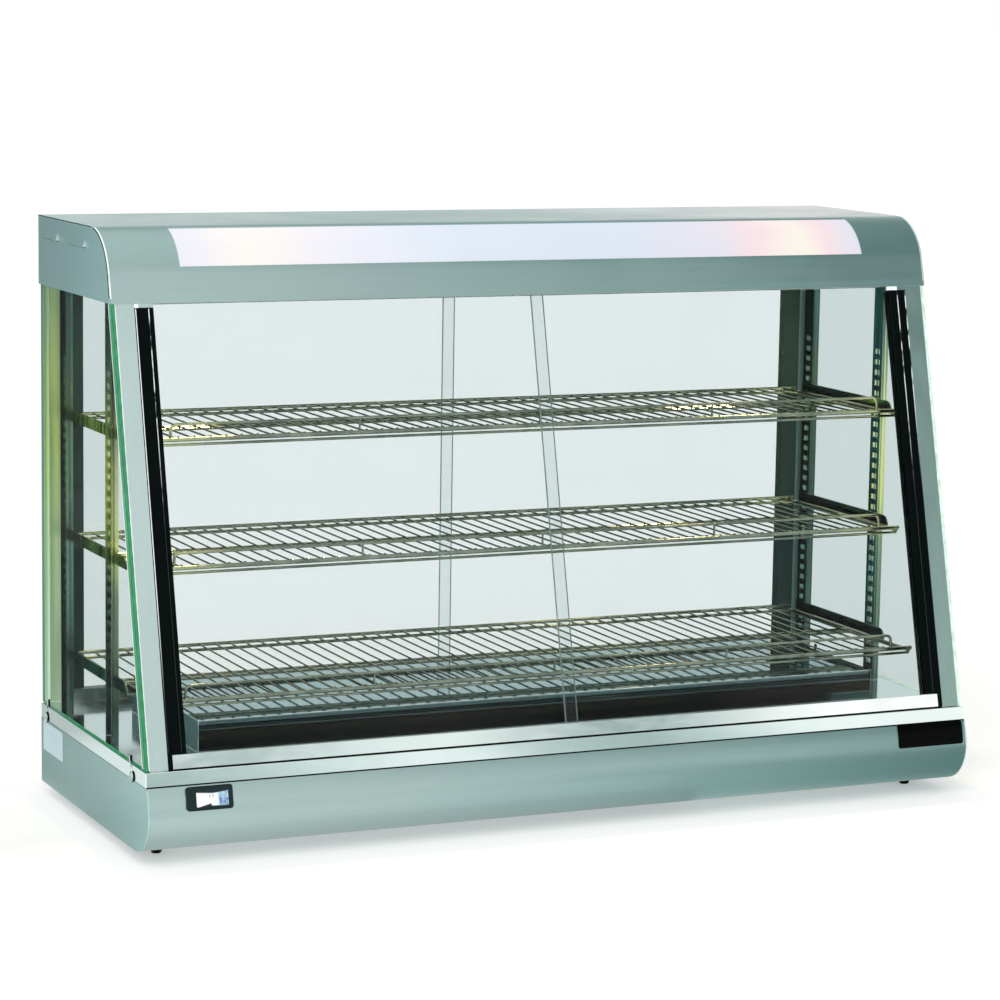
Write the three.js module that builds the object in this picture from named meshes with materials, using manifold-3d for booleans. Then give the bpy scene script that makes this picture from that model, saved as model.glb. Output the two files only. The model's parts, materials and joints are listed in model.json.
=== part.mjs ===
// Heated display case with a slanted sliding-door front, three wire shelves and a lit canopy.
// Millimetres. X runs to the right, Y to the back, Z up. The origin is on the table,
// under the middle of the case.

import * as THREE from 'three';
import { mergeVertices } from 'three/addons/utils/BufferGeometryUtils.js';
import Module from 'manifold-3d';

const wasm = await Module();
wasm.setup();

// Driving sizes of the whole case
const caseWidth = 1200;
const caseDepth = 475;
const caseHeight = 798;
const slantDegrees = 13.65;
const seatGap = 0.3;
const cutOverrun = 5;
const coordinateGrain = 0.001;

// Feet
const footHeight = 16;
const footTopRadius = 13;
const footSoleRadius = 6;
const footInsetX = 42;
const footInsetY = 95;

// Base body
const baseSheet = 1.5;
const baseRearInset = 4;
const baseCurveRadius = 55;
const baseUpperRadius = 85;
const baseFlange = 12;

// Deck, a shallow polished lid whose turned-down rim is the bright band round the base
const deckSheet = 1.2;
const bandHeight = 19.5;
const deckTop = 126;
const bandFrontInset = 9;

// Slanted front and upright rear: both are framed, sealed and tracked in the same way
const frontPlaneInset = 15;
const frameSheet = 1.5;
const frameFaceWidth = 25;
const frameReturn = 24;
const sealWidth = 25.5;
const sealWall = 1.5;
const sealRidge = 0.8;
const sealRidgeWidth = 1.6;
const sealRidgeShares = [0.25, 0.75];
const sealTopDrop = 5.5;
const trackWall = 1.5;
const trackFloor = 6;
const lowerTrackHeight = 18;
const upperTrackHeight = 20;
const trackEndInset = 6.5;
const grooveClearance = 1;
const doorGlass = 4;
const doorOverlap = 21;
const doorEdgeClearance = 5;
const doorUpperLap = 8;

// Side glass
const sideGlass = 5;
const sideGlassLap = 12;

// Shelf uprights with their rows of slots
const postWeb = 1.2;
const postWidth = 26;
const postFlange = 10;
const postFrameGap = 14;
const frontPostSetback = 65.65;
const rearPostInset = 47.5;
const slotPitch = 15;
const slotWidth = 12;
const slotHeight = 7;
const topSlotDrop = 120.5;
const lowestSlotRise = 28;

// Shelf arms, hooked into the slots
const armSheet = 1.5;
const armHeight = 16;
const armLedge = 20;
const armFrontLap = 33;
const armNoseRadius = 14;
const lugWidth = 10;
const lugHeight = 6;
const hookDrop = 4;
const hookThickness = 2.5;
const hookClearance = 0.5;
const shelfSlotShares = [0.167, 0.533, 0.9];
const shelfNames = ['top', 'middle', 'bottom'];

// Wire shelves
const shelfSetbacks = [29.6, 54.7, 49.8];
const shelfWireCount = 50;
const wireSize = 3;
const rodSize = 5;
const wireSink = 0.6;
const sideRodInset = 0.5;
const sideRodClearance = 12;
const crossRodShare = 0.42;
const railSize = 6;
const guardSize = 4;
const guardRise = 14;
const guardInset = 33;
const guardBend = 9;
const guardStrutShares = [-0.5, 0, 0.5];

// Canopy
const canopySheet = 1.2;
const canopyHeight = 93.5;
const canopyRadius = 75;
const canopyEndGap = 0.3;
const windowMargin = 97;
const windowStartDegrees = 13;
const windowEndDegrees = 69;
const panelThickness = 2.5;
const panelLap = 12;
const panelLapDegrees = 5;
const ceilingDrop = 73.5;
const ceilingFlange = 12;
const louvreLength = 72;
const louvreHeight = 11;
const louvreThrow = 3.5;
const louvreWall = 1;
const louvreDrop = 18;
const louvreShares = [0.768, 0.254];

// Lamps in the canopy
const lampInset = 185;
const lampSetback = 13.9;
const lampDrop = 38;
const bulbRadius = 17.5;
const bulbLength = 62;
const bulbNeck = 11;
const capRadius = 7;
const capLength = 22;
const capDepth = 18;
const socketClearance = 0.4;
const socketWall = 3;
const socketBack = 4;
const bracketSheet = 2;
const bracketWidth = 30;
const lightHoleLength = 110;
const lightHoleWidth = 80;

// Heater on the deck, under its polished cover
const coverMargin = 100;
const coverHeight = 42;
const coverSheet = 1;
const coverFrontInset = 99;
const coverRearInset = 102.5;
const elementRadius = 4;
const elementMargin = 60;
const elementPitch = 110;
const elementRise = 20;
const elementTail = 16;
const elementBend = 16;
const elementClearance = 0.5;

// Thermometer in the base front
const meterWidth = 62;
const meterHeight = 31;
const meterBezel = 3;
const meterBodyWidth = 57;
const meterBodyHeight = 26;
const meterBodyDepth = 20;
const meterWindowWidth = 43;
const meterWindowHeight = 21;
const meterWindowDepth = 1;
const meterInset = 82;
const meterDrop = 36;
const meterClearance = 0.4;

// Operator controls in the base rear
const controlZ = 64;
const switchInset = 150;
const switchPlateWidth = 62;
const switchPlateHeight = 32;
const switchPlate = 2;
const switchBodyWidth = 56;
const switchBodyHeight = 27;
const switchBodyDepth = 22;
const rockerWidth = 20;
const rockerHalf = 10;
const rockerRise = 5;
const rockerDish = 1.6;
const rockerRootRadius = 7;
const rockerSpacing = 26;
const rockerRestDegrees = 7;
const rockerRootShare = 0.7;
const rockerClearance = 1.6;
const rockerSideClearance = 0.5;
const rockerDepth = 12;
const knobInset = 260;
const knobRadius = 20;
const knobDepth = 15;
const knobGrip = 8;
const knobGripRise = 5;
const knobBase = 3;
const knobStandoff = 2;
const shaftRadius = 3;
const shaftDepth = 12;
const thermostatWidth = 44;
const thermostatHeight = 40;
const thermostatDepth = 28;
const glandInset = 120;
const glandRadius = 11;
const glandBore = 4.5;
const glandNut = 6;
const glandNose = 14;
const glandTail = 9;
const glandTaper = 1.5;

// Straps at the feet of the side glass
const clipSheet = 1.2;
const clipWidth = 10;
const clipRise = 15;
const clipStep = 3;
const clipFrontInset = 67;
const clipFrontLap = 6.5;
const clipRearInset = 30;
const clipRearLap = 1.5;

// Places and sizes that follow from the driving sizes
const slant = THREE.MathUtils.degToRad(slantDegrees);
const frontY = -caseDepth / 2;
const rearY = caseDepth / 2;
const halfWidth = caseWidth / 2;
const bandFrontY = frontY + bandFrontInset;
const baseRearY = rearY - baseRearInset;
const bandBottom = deckTop - bandHeight;
const baseTop = bandBottom - seatGap;
const planeFootY = frontY + frontPlaneInset;
const canopyBottom = caseHeight - canopyHeight;
const ceilingZ = caseHeight - ceilingDrop;
const glassOuterX = halfWidth - canopySheet - seatGap;
const glassInnerX = glassOuterX - sideGlass;
const frameOuterX = glassInnerX - seatGap;
const frameInnerX = frameOuterX - frameFaceWidth;
const sealOuterX = frameInnerX - seatGap;
const sealInnerX = sealOuterX - sealWidth;
const grooveWidth = doorGlass + grooveClearance * 2;
const trackDepth = grooveWidth * 2 + trackWall * 3;
const trackHalf = sealOuterX - trackEndInset;
const postInnerX = frameOuterX - postFrameGap - postFlange;
const armOuterX = postInnerX - seatGap;
const armInnerX = armOuterX - armLedge;
const frontPostY = planeY(ceilingZ) + frontPostSetback;
const rearPostY = rearY - rearPostInset;
const topSlotZ = ceilingZ - topSlotDrop;
const slotCount = Math.floor((topSlotZ - deckTop - lowestSlotRise) / slotPitch) + 1;
const shelfSlots = shelfSlotShares.map((share) => Math.round(share * (slotCount - 1)));
const shelfHalf = armOuterX - armSheet - sideRodClearance;
const shelfRearY = rearPostY + postWidth / 2;
const canopySkinOffset = canopySheet + seatGap;
const windowHalf = halfWidth - windowMargin;
const lampX = halfWidth - lampInset;
const lampY = canopyCentre()[0] + lampSetback;
const lampZ = caseHeight - lampDrop;
const lampBackX = lampX + bulbLength / 2 + capLength + socketBack;
const coverHalf = halfWidth - coverMargin;
const coverFrontY = frontY + coverFrontInset;
const coverRearY = rearY - coverRearInset;
const elementHalfLength = coverHalf - elementMargin;
const elementY = (coverFrontY + coverRearY) / 2;
const meterX = meterInset - halfWidth;
const meterZ = deckTop - meterDrop;
const switchX = halfWidth - switchInset;
const knobX = halfWidth - knobInset;
const glandX = glandInset - halfWidth;
const glandNeckRadius = glandRadius - glandNut / 2;
const clipPlaces = [
  ['front', frontY + clipFrontInset, clipFrontLap],
  ['rear', rearY - clipRearInset, clipRearLap],
];

// The slanted plane of the front, as a Y for every height
function planeY(z) {
  return planeFootY + (z - deckTop) * Math.tan(slant);
}

// Turns a closed three.js geometry into a solid that can be cut and joined
function solid(geometry) {
  geometry.deleteAttribute('normal');
  geometry.deleteAttribute('uv');
  return weldedSolid(mergeVertices(geometry, coordinateGrain));
}

// The same for a geometry whose triangles share their corners already. Coordinates are
// rounded to a fine grain, so faces meant to lie in one plane do.
function weldedSolid(geometry) {
  return new wasm.Manifold(new wasm.Mesh({
    numProp: 3,
    vertProperties: geometry.attributes.position.array.map(
      (value) => Math.round(value / coordinateGrain) * coordinateGrain),
    triVerts: new Uint32Array(geometry.index.array),
  }));
}

// Turns a finished solid back into a three.js geometry
function geometryOf(body) {
  const mesh = body.getMesh();
  const geometry = new THREE.BufferGeometry();
  geometry.setAttribute('position', new THREE.BufferAttribute(new Float32Array(mesh.vertProperties), 3));
  geometry.setIndex(new THREE.BufferAttribute(new Uint32Array(mesh.triVerts), 1));
  geometry.computeVertexNormals();
  return geometry;
}

// A box between two corners
function block(x0, x1, y0, y1, z0, z1) {
  const geometry = new THREE.BoxGeometry(x1 - x0, y1 - y0, z1 - z0);
  geometry.translate((x0 + x1) / 2, (y0 + y1) / 2, (z0 + z1) / 2);
  return solid(geometry);
}

// Turns a solid about the origin by three angles and then shifts it
function moved(body, turn, shift) {
  const geometry = geometryOf(body);
  const matrix = new THREE.Matrix4().makeRotationFromEuler(new THREE.Euler(...turn));
  geometry.applyMatrix4(matrix.setPosition(...shift));
  return weldedSolid(geometry);
}

// Extrudes a shape drawn in Y and Z along X
function alongX(shape, x0, x1) {
  const geometry = new THREE.ExtrudeGeometry(shape, { depth: x1 - x0, bevelEnabled: false });
  geometry.applyMatrix4(new THREE.Matrix4().makeBasis(
    new THREE.Vector3(0, 1, 0), new THREE.Vector3(0, 0, 1), new THREE.Vector3(1, 0, 0)));
  geometry.translate(x0, 0, 0);
  return solid(geometry);
}

// Extrudes a shape drawn in X and Y along Z
function alongZ(shape, z0, z1) {
  const geometry = new THREE.ExtrudeGeometry(shape, { depth: z1 - z0, bevelEnabled: false });
  geometry.translate(0, 0, z0);
  return solid(geometry);
}

// Extrudes a shape drawn in X and Z along Y
function alongY(shape, y0, y1) {
  const geometry = new THREE.ExtrudeGeometry(shape, { depth: y1 - y0, bevelEnabled: false });
  geometry.applyMatrix4(new THREE.Matrix4().makeBasis(
    new THREE.Vector3(1, 0, 0), new THREE.Vector3(0, 0, 1), new THREE.Vector3(0, -1, 0)));
  geometry.translate(0, y1, 0);
  return solid(geometry);
}

// A solid round bar along Z
function rod(radius, z0, z1) {
  return turned([[0, z0], [radius, z0], [radius, z1], [0, z1]], 12);
}

// Turns a profile of radius and height about Z
function turned(points, segments) {
  const profile = points.map(([radius, height]) => new THREE.Vector2(radius, height));
  const geometry = new THREE.LatheGeometry(profile, segments);
  geometry.rotateX(Math.PI / 2);
  return solid(geometry);
}

function shapeOf(points) {
  return new THREE.Shape(points.map(([a, b]) => new THREE.Vector2(a, b)));
}

// The points of an arc, both ends included
function arcPoints(centre, radius, startAngle, endAngle, steps) {
  return Array.from({ length: steps + 1 }, (_, i) => {
    const angle = startAngle + (endAngle - startAngle) * i / steps;
    return [centre[0] + radius * Math.cos(angle), centre[1] + radius * Math.sin(angle)];
  });
}

// Bent sheet metal: a path of points thickened to its left
function sheetShape(path, thickness) {
  const inner = path.map((point, i) => {
    const before = path[Math.max(i - 1, 0)];
    const after = path[Math.min(i + 1, path.length - 1)];
    const arrive = new THREE.Vector2(point[0] - before[0], point[1] - before[1]);
    const leave = new THREE.Vector2(after[0] - point[0], after[1] - point[1]);
    if (i === 0) arrive.copy(leave);
    if (i === path.length - 1) leave.copy(arrive);
    arrive.normalize();
    leave.normalize();
    const across = new THREE.Vector2(-arrive.y - leave.y, arrive.x + leave.x).normalize();
    const reach = thickness / (across.x * -arrive.y + across.y * arrive.x);
    return [point[0] + across.x * reach, point[1] + across.y * reach];
  });
  return shapeOf([...path, ...inner.reverse()]);
}

// A path through given corner points that an extrusion follows from corner to corner
class CornerPath extends THREE.Curve {
  constructor(corners) {
    super();
    this.corners = corners;
  }

  getPointAt(u) {
    return this.corners[Math.round(u * (this.corners.length - 1))].clone();
  }

  getTangentAt(u) {
    const last = this.corners.length - 1;
    const i = Math.round(u * last);
    const before = this.corners[Math.max(i - 1, 0)];
    const after = this.corners[Math.min(i + 1, last)];
    return after.clone().sub(before).normalize();
  }
}

// A round bar swept along corner points
function sweptBar(corners, radius, sides) {
  const ring = Array.from({ length: sides }, (_, i) => {
    const angle = (i + 0.5) / sides * Math.PI * 2;
    return [radius * Math.cos(angle), radius * Math.sin(angle)];
  });
  const geometry = new THREE.ExtrudeGeometry(shapeOf(ring), {
    steps: corners.length - 1,
    extrudePath: new CornerPath(corners),
    bevelEnabled: false,
  });
  return solid(geometry);
}

// A mesh with its own material
function mesh(name, body, color, roughness, metalness, extra = {}) {
  const material = new THREE.MeshStandardMaterial({ color, roughness, metalness, ...extra });
  const made = new THREE.Mesh(geometryOf(body), material);
  made.name = name;
  return made;
}

const satinSteel = (name, body) => mesh(name, body, 0x9db5b0, 0.38, 0.9);
const polishedSteel = (name, body) => mesh(name, body, 0xd3dcda, 0.12, 1);
const brightSteel = (name, body) => mesh(name, body, 0xc4cdc6, 0.2, 1);
const blackPlastic = (name, body) => mesh(name, body, 0x0c0e0e, 0.35, 0);
const rubber = (name, body) => mesh(name, body, 0x111111, 0.8, 0);
const clearGlass = (name, body) => mesh(
  name, body, 0xd8ece4, 0.03, 0, { transparent: true, opacity: 0.3 });

const sides = [['left', -1], ['right', 1]];

// Outline of the base front: a quarter round below, and a flatter arc leaning back above it
function baseFrontPath(top) {
  const centreZ = footHeight + baseCurveRadius;
  const upperCentreY = frontY + baseUpperRadius;
  const lean = Math.asin((top - centreZ) / baseUpperRadius);
  const upper = arcPoints([upperCentreY, centreZ], baseUpperRadius, Math.PI - lean, Math.PI, 5);
  const lower = arcPoints(
    [frontY + baseCurveRadius, centreZ], baseCurveRadius, Math.PI, Math.PI * 1.5, 10);
  return [...upper, ...lower.slice(1)];
}

// Base: one welded body of wrapped sheet with end plates, open at the top
function baseBody() {
  const front = baseFrontPath(baseTop);
  const path = [
    [front[0][0] + baseFlange, baseTop],
    ...front,
    [baseRearY, footHeight],
    [baseRearY, baseTop],
    [baseRearY - baseFlange, baseTop],
  ];
  const outline = shapeOf([...front, [baseRearY, footHeight], [baseRearY, baseTop]]);
  let body = alongX(sheetShape(path, baseSheet), -halfWidth, halfWidth);
  for (const [, side] of sides) {
    const inner = side * (halfWidth - baseSheet);
    const outer = side * halfWidth;
    body = body.add(alongX(outline, Math.min(inner, outer), Math.max(inner, outer)));
  }
  body = body.subtract(meterPlaced(block(
    -meterBodyWidth / 2 - meterClearance, meterBodyWidth / 2 + meterClearance,
    -cutOverrun, meterBodyDepth,
    -meterBodyHeight / 2 - meterClearance, meterBodyHeight / 2 + meterClearance)));
  const wallIn = baseRearY - baseSheet - cutOverrun;
  const wallOut = baseRearY + cutOverrun;
  body = body.subtract(block(
    switchX - switchBodyWidth / 2 - seatGap, switchX + switchBodyWidth / 2 + seatGap,
    wallIn, wallOut,
    controlZ - switchBodyHeight / 2 - seatGap, controlZ + switchBodyHeight / 2 + seatGap));
  for (const [x, radius] of [[knobX, shaftRadius], [glandX, glandNeckRadius]]) {
    body = body.subtract(rearPlaced(rod(radius + seatGap, -baseSheet - cutOverrun, cutOverrun), x));
  }
  return satinSteel('base_body', body);
}

// Deck lid with its turned-down rim
function deck() {
  const half = halfWidth - deckSheet;
  let body = block(-halfWidth, halfWidth, bandFrontY, baseRearY, bandBottom, deckTop);
  body = body.subtract(block(
    -half, half, bandFrontY + deckSheet, baseRearY - deckSheet,
    bandBottom - cutOverrun, deckTop - deckSheet));
  for (const y of elementLegs()) {
    const hole = rod(elementRadius + elementClearance, -deckSheet - cutOverrun, cutOverrun);
    body = body.subtract(moved(hole, [0, 0, 0], [-elementHalfLength, y, deckTop]));
  }
  return polishedSteel('deck_plate', body);
}

// The two legs of the heating element pass through the deck at its left end
function elementLegs() {
  return [elementY - elementPitch / 2, elementY + elementPitch / 2];
}

// Heating element: a hairpin of tube lying under the cover
function heatingElement() {
  const z = deckTop + elementRise;
  const tailZ = deckTop - elementTail;
  const [near, far] = elementLegs();
  const corner = [elementBend - elementHalfLength, z - elementBend];
  const leg = (y) => [
    new THREE.Vector3(-elementHalfLength, y, tailZ),
    ...arcPoints(corner, elementBend, Math.PI, Math.PI / 2, 4)
      .map(([x, height]) => new THREE.Vector3(x, y, height)),
  ];
  const half = elementPitch / 2;
  const turn = arcPoints([elementHalfLength - half, elementY], half, -Math.PI / 2, Math.PI / 2, 10)
    .map(([x, y]) => new THREE.Vector3(x, y, z));
  const corners = [...leg(near), ...turn, ...leg(far).reverse()];
  return mesh('heating_element', sweptBar(corners, elementRadius, 8), 0x3c3a36, 0.55, 0.8);
}

// Polished cover over the heater: a tray turned upside down
function heaterCover() {
  const bottom = deckTop + seatGap;
  const top = deckTop + coverHeight;
  const outer = block(-coverHalf, coverHalf, coverFrontY, coverRearY, bottom, top);
  const inner = block(
    coverSheet - coverHalf, coverHalf - coverSheet, coverFrontY + coverSheet, coverRearY - coverSheet,
    bottom - cutOverrun, top - coverSheet);
  return polishedSteel('heater_cover', outer.subtract(inner));
}

function foot(name, x, y) {
  const height = footHeight - seatGap;
  const body = turned([[0, 0], [footSoleRadius, 0], [footTopRadius, height], [0, height]], 16);
  return rubber(name, moved(body, [0, 0, 0], [x, y, 0]));
}

// Moves a piece drawn about the bezel's back to its place on the leaning base front
function meterPlaced(body) {
  const lean = Math.asin((meterZ - footHeight - baseCurveRadius) / baseUpperRadius);
  const skinY = frontY + baseUpperRadius * (1 - Math.cos(lean));
  return moved(body, [-lean, 0, 0], [meterX, skinY, meterZ]);
}

// Panel thermometer: bezel in front of the sheet, body through it
function thermometer() {
  const face = -meterBezel - seatGap;
  const bezel = block(
    -meterWidth / 2, meterWidth / 2, face, -seatGap, -meterHeight / 2, meterHeight / 2);
  const body = block(
    -meterBodyWidth / 2, meterBodyWidth / 2, -meterBezel, meterBodyDepth,
    -meterBodyHeight / 2, meterBodyHeight / 2);
  const recess = block(
    -meterWindowWidth / 2, meterWindowWidth / 2, face - cutOverrun, face + meterWindowDepth,
    -meterWindowHeight / 2, meterWindowHeight / 2);
  return blackPlastic('thermometer', meterPlaced(bezel.add(body).subtract(recess)));
}

// Double-channel section that holds two panes one behind the other, open towards the panes.
// Drawn with depth inwards from the outer face and height from the floor to the lips.
function channelShape(floor, height, bottomSlope = 0) {
  const pitch = trackWall + grooveWidth;
  const points = [[0, 0], [trackDepth, trackDepth * bottomSlope]];
  for (let groove = 2; groove > 0; groove -= 1) {
    const wallIn = groove * pitch;
    points.push(
      [wallIn + trackWall, height], [wallIn, height], [wallIn, floor], [wallIn - grooveWidth, floor]);
  }
  points.push([trackWall, height], [0, height]);
  return shapeOf(points);
}

// A plate between two X and two depths that stands on a level floor while its face leans
function standingPlate(x0, x1, y0, y1, bottom, top, lean) {
  const rise = Math.tan(lean);
  const shape = shapeOf([[y0, bottom + y0 * rise], [y1, bottom + y1 * rise], [y1, top], [y0, top]]);
  return alongX(shape, Math.min(x0, x1), Math.max(x0, x1));
}

// Everything that makes up one glazed face, drawn upright with its outer face at y = 0,
// the deck at z = 0, and depth towards +Y
function glazedFace(label, lean) {
  const face = new THREE.Group();
  const up = Math.cos(lean);
  const bottom = seatGap / up;
  const top = (ceilingZ - deckTop) / up - bottom;
  const trackTop = bottom + lowerTrackHeight / up;
  const trackMouth = top - upperTrackHeight;
  const sealTop = (canopyBottom - sealTopDrop - deckTop) / up;

  const lower = alongX(channelShape(trackFloor, trackTop, Math.tan(lean)), -trackHalf, trackHalf);
  face.add(polishedSteel(`${label}_track_lower`, moved(lower, [0, 0, 0], [0, 0, bottom])));
  const upper = alongX(channelShape(trackFloor, upperTrackHeight), -sealOuterX, sealOuterX);
  face.add(brightSteel(`${label}_track_upper`, moved(upper, [Math.PI, 0, 0], [0, trackDepth, top])));

  for (const [, side] of sides) {
    const name = sideName(label, side);
    const frame = cornerFrame(side, lean, bottom, top, sealTop + seatGap, trackMouth - seatGap);
    face.add(satinSteel(`${label}_frame_${name}`, frame));
    const seal = edgeSeal(side, lean, bottom, trackTop + bottom + seatGap, sealTop);
    face.add(blackPlastic(`${label}_seal_${name}`, seal));
  }

  const glassBottom = bottom + trackFloor + seatGap;
  const glassTop = trackMouth + doorUpperLap;
  for (const [pane, side] of [[0, 1], [1, -1]]) {
    const glass = doorPane(pane, side, glassBottom, glassTop);
    face.add(clearGlass(`${label}_door_${sideName(label, side)}`, glass));
  }
  return face;
}

// The rear face is drawn turned about, so its own right is the case's left
function sideName(label, side) {
  const caseSide = label === 'rear' ? -side : side;
  return caseSide > 0 ? 'right' : 'left';
}

// One sliding pane of glass with its edge in the seal's channel
function doorPane(pane, side, bottom, top) {
  const y = trackWall + grooveClearance + pane * (trackWall + grooveWidth);
  const outerEdge = side * (sealOuterX - sealWall - doorEdgeClearance);
  const innerEdge = -side * doorOverlap / 2;
  return block(
    Math.min(outerEdge, innerEdge), Math.max(outerEdge, innerEdge), y, y + doorGlass, bottom, top);
}

// Angle section beside the glass, with a tab above the seal that carries the upper track
function cornerFrame(side, lean, bottom, top, tabBottom, tabTop) {
  const inner = side * frameInnerX;
  const outer = side * frameOuterX;
  const strip = standingPlate(inner, outer, 0, frameSheet, bottom, top, lean);
  const web = standingPlate(outer - side * frameSheet, outer, 0, frameReturn, bottom, top, lean);
  const tabInner = side * sealInnerX;
  const tab = block(
    Math.min(tabInner, outer), Math.max(tabInner, outer), 0, frameSheet, tabBottom, tabTop);
  return strip.add(web).add(tab);
}

// Black double-channel profile that takes the edges of both panes.
// Its outer corner runs down beside the end of the lower track.
function edgeSeal(side, lean, bottom, standsOn, top) {
  const shape = channelShape(sealWall, sealWidth);
  const length = top - standsOn;
  const geometry = new THREE.ExtrudeGeometry(shape, { depth: length, bevelEnabled: false });
  geometry.applyMatrix4(new THREE.Matrix4().makeBasis(
    new THREE.Vector3(0, 1, 0), new THREE.Vector3(-side, 0, 0), new THREE.Vector3(0, 0, side)));
  geometry.translate(side * sealOuterX, 0, side > 0 ? standsOn : top);
  const legInner = side * (trackHalf + seatGap);
  const leg = standingPlate(
    legInner, side * sealOuterX, 0, trackDepth, bottom, standsOn + sealWall, lean);
  let seal = solid(geometry).add(leg);
  for (const share of sealRidgeShares) {
    const x = side * (sealOuterX - sealWidth * share);
    seal = seal.add(block(
      x - sealRidgeWidth / 2, x + sealRidgeWidth / 2, -sealRidge, trackWall / 2, standsOn, top));
  }
  return seal;
}

// One pane at each end of the case, cut to the lean of the front
function sidePane(side) {
  const bottom = deckTop + seatGap;
  const top = canopyBottom + sideGlassLap;
  const outline = shapeOf([
    [planeY(bottom), bottom],
    [baseRearY, bottom],
    [baseRearY, top],
    [planeY(top), top],
  ]);
  const x = [side * glassInnerX, side * glassOuterX];
  return alongX(outline, Math.min(...x), Math.max(...x));
}

// Shelf upright: a channel with a ladder of slots in the web that faces the shelves
function shelfPost(side, y) {
  const x = (depth) => side * (postInnerX + depth);
  const half = postWidth / 2;
  const outline = [
    [x(0), y - half],
    [x(postFlange), y - half],
    [x(postFlange), y - half + postWeb],
    [x(postWeb), y - half + postWeb],
    [x(postWeb), y + half - postWeb],
    [x(postFlange), y + half - postWeb],
    [x(postFlange), y + half],
    [x(0), y + half],
  ];
  let body = alongZ(shapeOf(outline), deckTop + seatGap, ceilingZ - seatGap);
  const cut = [x(-cutOverrun), x(postWeb + cutOverrun / 2)];
  for (let slot = 0; slot < slotCount; slot += 1) {
    const z = slotZ(slot);
    body = body.subtract(block(
      Math.min(...cut), Math.max(...cut), y - slotWidth / 2, y + slotWidth / 2,
      z - slotHeight / 2, z + slotHeight / 2));
  }
  return body;
}

function slotZ(slot) {
  return topSlotZ - slot * slotPitch;
}

// Shelf arm: an angle whose ledge carries the shelf, with a hooked lug at each upright
function shelfArm(side, slot) {
  const centre = slotZ(slot);
  const bottom = centre - armHeight / 2;
  const top = centre + armHeight / 2;
  const back = rearPostY + postWidth / 2;
  const nose = frontPostY - postWidth / 2 - armFrontLap;
  const corner = arcPoints(
    [nose + armNoseRadius, top - armNoseRadius], armNoseRadius, Math.PI / 2, Math.PI, 6);
  const outline = shapeOf([[nose, bottom], [back, bottom], [back, top], ...corner]);
  const span = (a, b) => [Math.min(side * a, side * b), Math.max(side * a, side * b)];
  let body = alongX(outline, ...span(armOuterX - armSheet, armOuterX));
  body = body.add(block(...span(armInnerX, armOuterX), nose, back, bottom, bottom + armSheet));
  const lugBottom = centre - slotHeight / 2 + seatGap;
  const lugTop = lugBottom + lugHeight;
  const hookNear = postInnerX + postWeb + hookClearance;
  const hookFar = hookNear + hookThickness;
  for (const y of [frontPostY, rearPostY]) {
    const sideways = [y - lugWidth / 2, y + lugWidth / 2];
    body = body.add(block(...span(armOuterX - armSheet, hookFar), ...sideways, lugBottom, lugTop));
    body = body.add(block(...span(hookNear, hookFar), ...sideways, lugBottom - hookDrop, lugTop));
  }
  return body;
}

// Wire shelf: front-to-back wires held between a front rail and a rear rod, and lying on
// a cross rod, with a guard hoop over the rail
function wireShelf(slot, setback) {
  const shelfFrontY = planeY(slotZ(slot)) + setback;
  const rodBottom = slotZ(slot) - armHeight / 2 + armSheet + seatGap;
  const rodTop = rodBottom + rodSize;
  const wireBottom = rodTop - wireSink;
  const wireTop = wireBottom + wireSize;
  const railBottom = wireBottom - (railSize - wireSize) / 2;
  const railY = shelfFrontY + railSize / 2;
  const crossY = shelfFrontY + (shelfRearY - shelfFrontY) * crossRodShare;
  const rearRodY = shelfRearY - rodSize;
  const bar = (half, y, size, bottom) => block(-half, half, y, y + size, bottom, bottom + size);
  let body = bar(shelfHalf, shelfFrontY, railSize, railBottom)
    .add(bar(shelfHalf - rodSize / 2, crossY, rodSize, rodBottom + wireSink / 2))
    .add(bar(shelfHalf, rearRodY, rodSize, wireTop + wireSink - rodSize));
  for (const [, side] of sides) {
    const x = [side * (shelfHalf - rodSize), side * (shelfHalf - sideRodInset)];
    body = body.add(block(
      Math.min(...x), Math.max(...x), railY, shelfRearY - sideRodInset, rodBottom, rodTop));
  }
  const pitch = shelfHalf * 2 / (shelfWireCount + 1);
  for (let wire = 1; wire <= shelfWireCount; wire += 1) {
    const x = -shelfHalf + wire * pitch;
    body = body.add(block(
      x - wireSize / 2, x + wireSize / 2, railY, rearRodY + rodSize / 2, wireBottom, wireTop));
  }
  return body.add(guardHoop(railY, railBottom + railSize));
}

// The guard: a low hoop with rounded corners, its legs and struts standing on the rail
function guardHoop(y, railTop) {
  const half = shelfHalf - guardInset;
  const top = railTop + guardRise;
  const foot = railTop - railSize / 2;
  const bend = (side, from, to) => arcPoints(
    [side * (half - guardBend), top - guardBend], guardBend, from, to, 3)
    .map(([x, z]) => new THREE.Vector3(x, y, z));
  const corners = [
    new THREE.Vector3(-half, y, foot),
    ...bend(-1, Math.PI, Math.PI / 2),
    ...bend(1, Math.PI / 2, 0),
    new THREE.Vector3(half, y, foot),
  ];
  let hoop = sweptBar(corners, guardSize / 2, 6);
  for (const share of guardStrutShares) {
    const x = half * share;
    hoop = hoop.add(block(
      x - wireSize / 2, x + wireSize / 2, y - wireSize / 2, y + wireSize / 2, foot, top));
  }
  return hoop;
}

// The canopy's skin, from the rear edge over the top and down the front, seen from the side
function canopyPath() {
  const centre = canopyCentre();
  return [
    [rearY, canopyBottom],
    [rearY, caseHeight],
    ...arcPoints(centre, canopyRadius, Math.PI / 2, Math.PI - slant, 12),
    [planeY(canopyBottom) - canopySkinOffset / Math.cos(slant), canopyBottom],
  ];
}

// Centre of the canopy's front curve, which meets the top and the leaning skirt smoothly
function canopyCentre() {
  const z = caseHeight - canopyRadius;
  return [planeY(z) + (canopyRadius - canopySkinOffset) / Math.cos(slant), z];
}

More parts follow.
